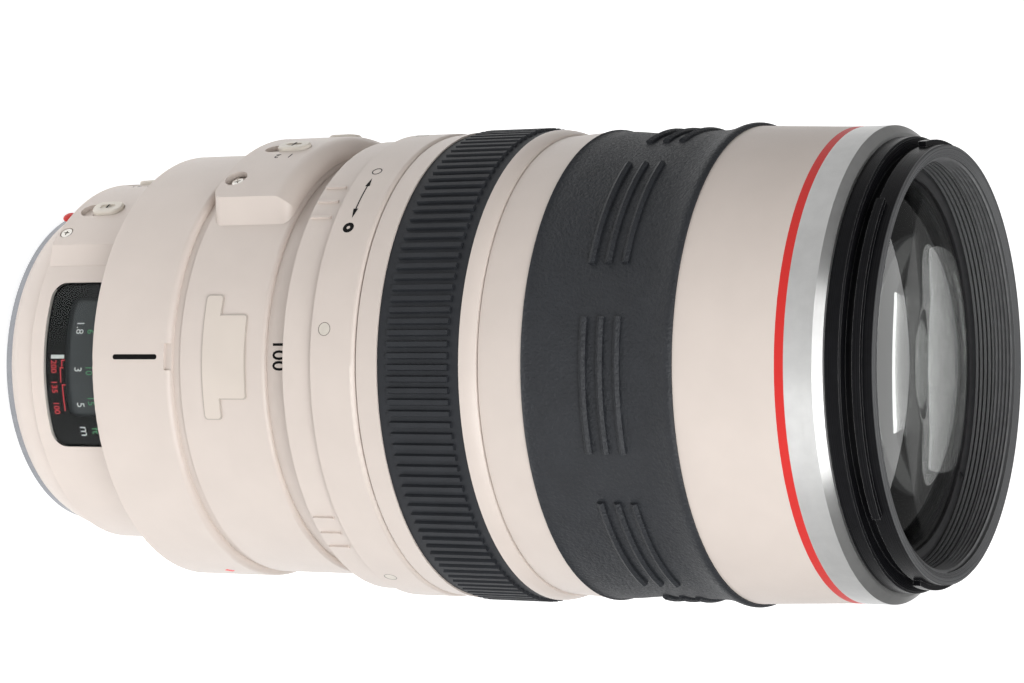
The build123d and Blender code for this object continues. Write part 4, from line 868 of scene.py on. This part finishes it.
def in_strips(piece):
    """Cuts a flat piece into narrow strips, so that it can bend, stands it up, gives its width."""
    low, high = extent(piece, 0)
    strips = max(1, round((high - low) / STRIP_WIDTH))
    with editing(piece):
        for index in range(1, strips):
            bpy.ops.mesh.select_all(action="SELECT")
            spot = low + (high - low) * index / strips
            bpy.ops.mesh.bisect(plane_co=(spot, 0, 0), plane_no=(1, 0, 0))
    applied(piece, UPRIGHT)
    return high - low


def bent_round(piece, width, radius, turn, height):
    """Bends an upright piece of a width round the lens, its face at a radius."""
    bend = width / radius
    finish_with(piece, "SIMPLE_DEFORM", deform_method="BEND", deform_axis="Z", angle=bend)
    applied(piece, on_side(radius, turn, height))


def settle(piece, body, finish):
    """Gives a finished piece its finish and the body that it rides on."""
    piece.data.materials.clear()
    piece.data.materials.append(FINISHES[finish])
    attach(piece, body)


def mark(piece, body, slot, ink, radius, turn, height, lean=0.0, depth=PRINT_DEPTH):
    """Lays a flat mark round the lens in an ink, its face a film above a radius."""
    applied(piece, spun(lean))
    width = in_strips(piece)
    thickened(piece, depth)
    bent_round(piece, width, radius + PRINT_FILM, turn, height)
    settle(piece, body, ink)


def curved(piece, radius, turn, height):
    """Bends a flat slab round the lens, its upper face at a radius."""
    bent_round(piece, in_strips(piece), radius, turn, height)
    closed_shell(piece)


def cross_screw(name, radius, depth):
    """A screw head with a rounded rim and a cross recess, its face at height 0."""
    head = flat_disc(name, radius, sides=40)
    with editing(head):
        bpy.ops.mesh.extrude_region_move(TRANSFORM_OT_translate={"value": (0, 0, -depth)})
    closed_shell(head)
    with editing(head):
        pick(head, "FACE", lambda face: face.normal.z > FACING)
        bpy.ops.mesh.bevel(offset=HEAD_ROUND * radius, segments=4, affect="EDGES")
    slots = []
    for turn in (0, 90):
        slot = block(spun(turn) @ scaled(*(share * radius for share in SLOT_SIZE)))
        with editing(slot):
            pick(slot, "FACE", lambda face: face.normal.z < -FACING)
            bpy.ops.transform.resize(value=(SLOT_TAPER, SLOT_TAPER, 1))
        slots.append(slot)
    for slot in slots:
        combined(head, "DIFFERENCE", slot)
    smooth(head)
    return head


def turned_round(name, outline, steps=96):
    """Turns an outline of points (distance from the axis, height) round the optical axis.

    It starts as a circle, whose points are moved onto the outline.
    """
    bpy.ops.mesh.primitive_circle_add(
        vertices=len(outline), radius=1 * MM, fill_type="NOTHING", location=(0, 0, 0)
    )
    piece = named(name)
    for point, (reach, height) in zip(piece.data.vertices, outline):
        point.co = (reach, 0, height)

    def on_axis(edge):
        return all(piece.data.vertices[end].co.x < ON_AXIS for end in edge.vertices)

    with editing(piece):
        pick(piece, "EDGE", on_axis)
        bpy.ops.mesh.delete(type="EDGE_FACE")
    finish_with(
        piece,
        "SCREW",
        axis="Z",
        angle=2 * pi,
        steps=steps,
        render_steps=steps,
        use_merge_vertices=True,
    )
    closed_shell(piece)
    smooth(piece)
    return piece


def sag(bend, reach):
    """How far the surface of a ball has fallen at a reach from its top."""
    return bend - sqrt(bend * bend - reach * reach)


# Operators, one for each piece or group of like pieces


class LENS_OT_finishes(bpy.types.Operator):
    """Give every piece of the packed model its finish"""

    bl_idname = "lens.finishes"
    bl_label = "Finishes"

    def execute(self, context):
        FINISHES.update(make_finishes())
        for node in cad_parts.values():
            for place in node.material_slots:
                place.material = FINISHES[place.material.name.split(".")[0]]
        for name, finish in OTHER_FINISHES.items():
            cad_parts[name].material_slots[0].material = FINISHES[finish]
        return {"FINISHED"}


class LENS_OT_window(bpy.types.Operator):
    """Print the mask of the distance window, its index and the numbers of the drum"""

    bl_idname = "lens.window"
    bl_label = "Distance window"

    def execute(self, context):
        mask = flat_bar("window_mask", *WINDOW_MASK)
        thickened(mask, MASK_THICKNESS)
        opening = flat_bar("opening", *WINDOW_OPENING)
        thickened(opening, CUTTER_THICKNESS, offset=0.0)
        applied(opening, Matrix.Translation(OPENING_SHIFT))
        combined(mask, "DIFFERENCE", opening)
        curved(mask, MASK, WINDOW_TURN, WINDOW_MIDDLE)
        settle(mask, "barrel", "mask")

        index = flat_bar("window_index", *WINDOW_INDEX)
        mark(index, "barrel", "cream", "white_ink", MASK, *WINDOW_INDEX_PLACE)
        for words, turn in INFRARED_FIGURES:
            piece = flat_words("infrared_" + words, words, INFRARED_SIZE, narrow=WINDOW_NARROW)
            mark(piece, "barrel", "red", "red_ink", MASK, turn, INFRARED_LEVEL)
        for name, first, last, level in INFRARED_LINES:
            span, middle = radians(first - last) * MASK, (first + last) / 2
            line = flat_bar("infrared_line_" + name, span, INFRARED_WIDTH, INFRARED_CORNER)
            mark(line, "barrel", "red", "red_ink", MASK, middle, level)
            tick = flat_bar("infrared_tick_" + name, INFRARED_WIDTH, TICK_LENGTH, INFRARED_CORNER)
            mark(tick, "barrel", "red", "red_ink", MASK, first, level + TICK_RISE)
        for name, words, size, slot, ink, turn, level in UNITS:
            mark(flat_words(name, words, size), "barrel", slot, ink, MASK, turn, level)

        for name, size, slot, ink, level, figures in DRUM_ROWS:
            for words, turn in figures:
                piece = flat_words(name + words, words, size, narrow=WINDOW_NARROW)
                mark(piece, "distance_drum", slot, ink, DRUM, turn, level)
        loops = []
        for name, side in (("infinity", -1), ("infinity_b", 1)):
            loop = flat_disc(name, *INFINITY_LOOP)
            loops.append(applied(loop, Matrix.Translation((side * INFINITY_SHIFT, 0, 0))))
        infinity = joined("infinity", *loops)
        mark(infinity, "distance_drum", "cream", "white_ink", DRUM, *INFINITY_PLACE)
        return {"FINISHED"}


class LENS_OT_index(bpy.types.Operator):
    """Print the index line on the collar seat, its red mark and the red dot of the mount"""

    bl_idname = "lens.index"
    bl_label = "Index marks"

    def execute(self, context):
        line = flat_bar("seat_index", *SEAT_INDEX)
        mark(line, "barrel", "black_plastic", "ink", SEAT, *SEAT_INDEX_PLACE)
        diamond = flat_bar("seat_diamond", *SEAT_DIAMOND)
        mark(diamond, "barrel", "red", "red_ink", SEAT, *SEAT_DIAMOND_PLACE, lean=45.0)
        bpy.ops.mesh.primitive_uv_sphere_add(segments=24, ring_count=12, radius=MOUNT_DOT_RADIUS)
        dot = named("mount_dot")
        applied(dot, on_side(*MOUNT_DOT_PLACE) @ scaled(1, MOUNT_DOT_FLATTENED, 1))
        smooth(dot)
        settle(dot, "barrel", "red")
        return {"FINISHED"}


class LENS_OT_zoom_numbers(bpy.types.Operator):
    """Print the focal lengths on the tube that the zoom draws out"""

    bl_idname = "lens.zoom_numbers"
    bl_label = "Zoom numbers"

    def execute(self, context):
        for words, height in ZOOM_FIGURES:
            piece = flat_words("zoom_" + words, words, ZOOM_SIZE, ZOOM_NARROW, ZOOM_HEAVY)
            mark(piece, "barrel", "black_plastic", "ink", SCALE, 0.0, height)
        return {"FINISHED"}


class LENS_OT_tension_marks(bpy.types.Operator):
    """Print the signs of the tension ring and the painted shadow lines in the gaps round its plugs
    """

    bl_idname = "lens.tension_marks"
    bl_label = "Tension marks"

    def execute(self, context):
        black_on_ring = ("tension_ring", "black_plastic", "ink", TENSION)
        shaft = flat_bar("tension_arrow", *ARROW_SHAFT)
        mark(shaft, *black_on_ring, ARROW_TURN, TENSION_LEVEL)
        for name, side in (("tension_head_a", 1), ("tension_head_b", -1)):
            head = flat_arrow(name, *ARROW_HEAD)
            if side < 0:
                applied(head, spun(180))
            mark(head, *black_on_ring, ARROW_TURN - side * ARROW_HEAD_TURN, TENSION_LEVEL)
        for name, size, turn in TENSION_DISCS:
            mark(flat_disc(name, *size), *black_on_ring, turn, TENSION_LEVEL)
        # a dark ring round each plug paints the shadow in its gap
        for index in range(PLUGS):
            seam = flat_disc(f"plug_seam_{index + 1}", *PLUG_GAP_SHADOW)
            place = (TENSION, FIRST_PLUG_TURN - 360 / PLUGS * index, PLUG_LEVEL)
            mark(seam, "tension_ring", "cream", "seam", *place, depth=PLUG_GAP_SHADOW_DEPTH)
        return {"FINISHED"}


class LENS_OT_switch_marks(bpy.types.Operator):
    """Print the signs of the four slide switches"""

    bl_idname = "lens.switch_marks"
    bl_label = "Switch marks"

    def execute(self, context):
        for knob, radius, turn, height in KNOB_LINES:
            line = flat_bar(knob + "_line", *KNOB_LINE)
            mark(line, knob, "black_plastic", "ink", radius + KNOB_PROUD, turn, height)
        for name, words, size, *place in SWITCH_SIGNS:
            piece = flat_words(name, words, size)
            mark(piece, "barrel", "black_plastic", "ink", *place, lean=-90.0)
        return {"FINISHED"}


class LENS_OT_screws(bpy.types.Operator):
    """Turn the two panel screws with their cross recesses"""

    bl_idname = "lens.screws"
    bl_label = "Screws"

    def execute(self, context):
        heads = []
        for name, radius, turn, height, cross_turn in PANEL_SCREWS:
            place = on_side(radius, turn, height) @ UPRIGHT @ spun(cross_turn)
            heads.append(applied(cross_screw(name, *PANEL_SCREW_HEAD), place))
        pair = joined("panel_screws_crossed", *heads)
        settle(pair, "barrel", "screw")
        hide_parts("panel_screws")
        return {"FINISHED"}


class LENS_OT_plate(bpy.types.Operator):
    """Model the bare stepped plate between the seat and the tension ring"""

    bl_idname = "lens.plate"
    bl_label = "Plate"

    def execute(self, context):
        for name, slot, finish, grow, film in PLATE_LAYERS:
            bars = []
            for part, (wide, tall, corner) in ((name, PLATE_BAR), ("step", PLATE_STEP)):
                wide, tall = (wide + 2 * grow) * MM, (tall + 2 * grow) * MM
                bar = flat_bar(part, wide, tall, corner * MM)
                thickened(bar, PLATE_THICKNESS)
                bars.append(bar)
            plate, step = bars
            applied(step, Matrix.Translation((0, PLATE_STEP_SHIFT, 0)))
            combined(plate, "UNION", step)
            curved(plate, STABILISER + film * MM, 0.0, PLATE_MIDDLE)
            settle(plate, "barrel", finish)
        return {"FINISHED"}


class LENS_OT_front_glass(bpy.types.Operator):
    """Turn the bulging front glass"""

    bl_idname = "lens.front_glass"
    bl_label = "Front glass"

    def execute(self, context):
        low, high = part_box("front_lens")
        reach, rear = high[0], low[2]
        top = GLASS_RIM + sag(GLASS_BEND, reach)
        outline = []
        for index in range(GLASS_BEND_STEPS + 1):
            spot = reach * index / GLASS_BEND_STEPS
            outline.append((spot, top - sag(GLASS_BEND, spot)))
        for index in reversed(range(GLASS_HOLLOW_STEPS + 1)):
            spot = reach * index / GLASS_HOLLOW_STEPS
            outline.append((spot, rear + sag(GLASS_HOLLOW, spot)))
        piece = turned_round("front_glass", outline)
        settle(piece, "front_unit", "lens")
        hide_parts("front_lens")
        return {"FINISHED"}


class LENS_OT_retaining_ring(bpy.types.Operator):
    """Turn the stepped ring that holds the front glass, with its two spanner notches"""

    bl_idname = "lens.retaining_ring"
    bl_label = "Retaining ring"

    def execute(self, context):
        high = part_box("front_retaining_ring")[1]
        outer, seat = high[0] + RING_SLACK, high[2] + RING_SLACK
        lip_foot, outer_foot, lip_top = (GLASS_RIM + rise for rise in RING_OVER_GLASS)
        outline = (
            (RING_LIP, lip_foot),
            (outer, outer_foot),
            (outer, seat),
            (RING_WIDTH, seat),
            (RING_WIDTH, RING_FACE - RING_CHAMFER),
            (RING_WIDTH - RING_CHAMFER, RING_FACE),
            (RING_LIP + RING_SLOPE, RING_FACE),
            (RING_LIP, lip_top),
        )
        ring = turned_round("front_glass_ring", outline, steps=160)
        for turn in NOTCH_TURNS:
            notch = block(on_side(NOTCH_RADIUS, turn, RING_FACE) @ scaled(*NOTCH_SIZE))
            combined(ring, "DIFFERENCE", notch)
        smooth(ring)
        settle(ring, "front_unit", "rim_black")
        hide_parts("front_retaining_ring")
        return {"FINISHED"}


class LENS_OT_filter_thread(bpy.types.Operator):
    """Wind the fine thread inside the front rim"""

    bl_idname = "lens.filter_thread"
    bl_label = "Filter thread"

    def execute(self, context):
        bpy.ops.mesh.primitive_circle_add(vertices=3, radius=TOOTH_RADIUS, fill_type="NOTHING")
        thread = named("filter_thread")
        foot = Matrix.Translation((THREAD_RADIUS - TOOTH_INSET, 0, THREAD_FOOT))
        applied(thread, foot @ UPRIGHT @ spun(90))
        finish_with(
            thread,
            "SCREW",
            axis="Z",
            angle=2 * pi,
            screw_offset=THREAD_PITCH,
            iterations=THREAD_TURNS,
            steps=120,
            render_steps=120,
            use_smooth_shade=False,
        )
        closed_shell(thread)
        settle(thread, "front_unit", "thread")
        return {"FINISHED"}


def lay_floor():
    """Lays the pale floor, which glows behind the lens and less beside and before it."""
    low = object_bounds()[0]
    bpy.ops.object.select_all(action="DESELECT")
    bpy.ops.mesh.primitive_grid_add(
        x_subdivisions=4, y_subdivisions=4, size=FLOOR_SIZE, location=(0, 0, low[2])
    )
    floor = named("floor")
    bpy.ops.object.transform_apply(location=True, rotation=False, scale=False)
    material, tree, shader = surface("pale floor")
    haze = noise(tree, place_of(tree), size=FLOOR_HAZE, detail=2.0)
    colour = tuple(bpy.context.scene.lens_colours.floor)
    tint_now = blended(tree, haze, times(colour, FLOOR_DARKEST), colour)
    tree.links.new(tint_now, shader.inputs["Base Color"])
    shader.inputs["Roughness"].default_value = FLOOR_ROUGHNESS
    shader.inputs["Emission Color"].default_value = (*WHITE, 1)
    spot = coordinates(tree, place_of(tree))
    side = add_node(tree, "ShaderNodeMath", operation="ABSOLUTE")
    tree.links.new(spot["X"], side.inputs[0])
    beside = mapped(tree, side.outputs[0], *GLOW_BESIDE, kind="SMOOTHSTEP")
    before = mapped(tree, spot["Y"], *GLOW_BEFORE, kind="SMOOTHSTEP")
    glow = reckoned(tree, "ADD", reckoned(tree, "MULTIPLY", beside, before), FLOOR_GLOW)
    tree.links.new(glow, shader.inputs["Emission Strength"])
    floor.data.materials.append(material)
    floor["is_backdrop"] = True


def hang_lights():
    """Lights the studio with a pale world and large softboxes."""
    world = bpy.data.worlds.new("studio")
    bpy.context.scene.world = world
    world.use_nodes = True
    light = world.node_tree.nodes["Background"].inputs
    light["Color"].default_value = (*WHITE, 1)
    light["Strength"].default_value = WORLD_LIGHT
    for name, spot, wide, deep, power in SOFTBOXES:
        bpy.ops.object.light_add(type="AREA", location=spot)
        lamp = named(name)
        lamp.data.shape = "RECTANGLE"
        lamp.data.size = wide
        lamp.data.size_y = deep
        lamp.data.energy = power
        lamp.rotation_euler = (LIT_SPOT - Vector(spot)).to_track_quat("-Z", "Y").to_euler()


def place_camera(stage):
    """Stands the camera above the lens and looks down its length towards the mount."""
    tilt, turn = stage.tilt, stage.turn
    right = Vector((-sin(tilt) * sin(turn), sin(tilt) * cos(turn), cos(tilt)))
    up = Vector((-cos(turn), -sin(turn), 0))
    back = Vector((cos(tilt) * sin(turn), -cos(tilt) * cos(turn), sin(tilt)))
    matrix = Matrix((right, up, back)).transposed().to_4x4()
    matrix.translation = (stage.distance * sin(turn), -stage.distance * cos(turn), stage.height)
    bpy.ops.object.camera_add()
    camera = named("camera")
    camera.data.lens = stage.focal
    camera.data.sensor_width = SENSOR_WIDTH
    camera.data.shift_y = stage.shift
    camera.data.clip_start = NEAREST_SEEN
    camera.matrix_world = matrix
    bpy.context.scene.camera = camera


class LENS_OT_stage(bpy.types.Operator):
    """Set up the floor, the studio light and the camera"""

    bl_idname = "lens.stage"
    bl_label = "Stage"

    def execute(self, context):
        lay_floor()
        hang_lights()
        place_camera(context.scene.lens_stage)
        context.scene.view_settings.view_transform = "Standard"
        return {"FINISHED"}


OPERATORS = (
    LENS_OT_finishes,
    LENS_OT_window,
    LENS_OT_index,
    LENS_OT_zoom_numbers,
    LENS_OT_tension_marks,
    LENS_OT_switch_marks,
    LENS_OT_screws,
    LENS_OT_plate,
    LENS_OT_front_glass,
    LENS_OT_retaining_ring,
    LENS_OT_filter_thread,
    LENS_OT_stage,
)


class LENS_PT_panel(bpy.types.Panel):
    """Lists the pieces of the lens and the stage"""

    bl_label = "Zoom lens"
    bl_idname = "LENS_PT_panel"
    bl_space_type = "VIEW_3D"
    bl_region_type = "UI"
    bl_category = "Lens"

    def draw(self, context):
        for name, group in SETTINGS.items():
            box = self.layout.box()
            box.label(text=group.__doc__)
            for setting in group.__annotations__:
                box.prop(getattr(context.scene, name), setting)
        for operator in OPERATORS:
            self.layout.operator(operator.bl_idname)


def register():
    for group in SETTINGS.values():
        bpy.utils.register_class(group)
    for name, group in SETTINGS.items():
        setattr(bpy.types.Scene, name, PointerProperty(type=group))
    for operator in OPERATORS:
        bpy.utils.register_class(operator)
    bpy.utils.register_class(LENS_PT_panel)


def unregister():
    bpy.utils.unregister_class(LENS_PT_panel)
    for operator in reversed(OPERATORS):
        bpy.utils.unregister_class(operator)
    for name in SETTINGS:
        delattr(bpy.types.Scene, name)
    for group in reversed(SETTINGS.values()):
        bpy.utils.unregister_class(group)


def main():
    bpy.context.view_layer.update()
    register()
    bpy.ops.lens.finishes()
    bpy.ops.lens.window()
    bpy.ops.lens.index()
    bpy.ops.lens.zoom_numbers()
    bpy.ops.lens.tension_marks()
    bpy.ops.lens.switch_marks()
    bpy.ops.lens.screws()
    bpy.ops.lens.plate()
    bpy.ops.lens.front_glass()
    bpy.ops.lens.retaining_ring()
    bpy.ops.lens.filter_thread()
    bpy.ops.lens.stage()


if __name__ == "__main__":
    main()
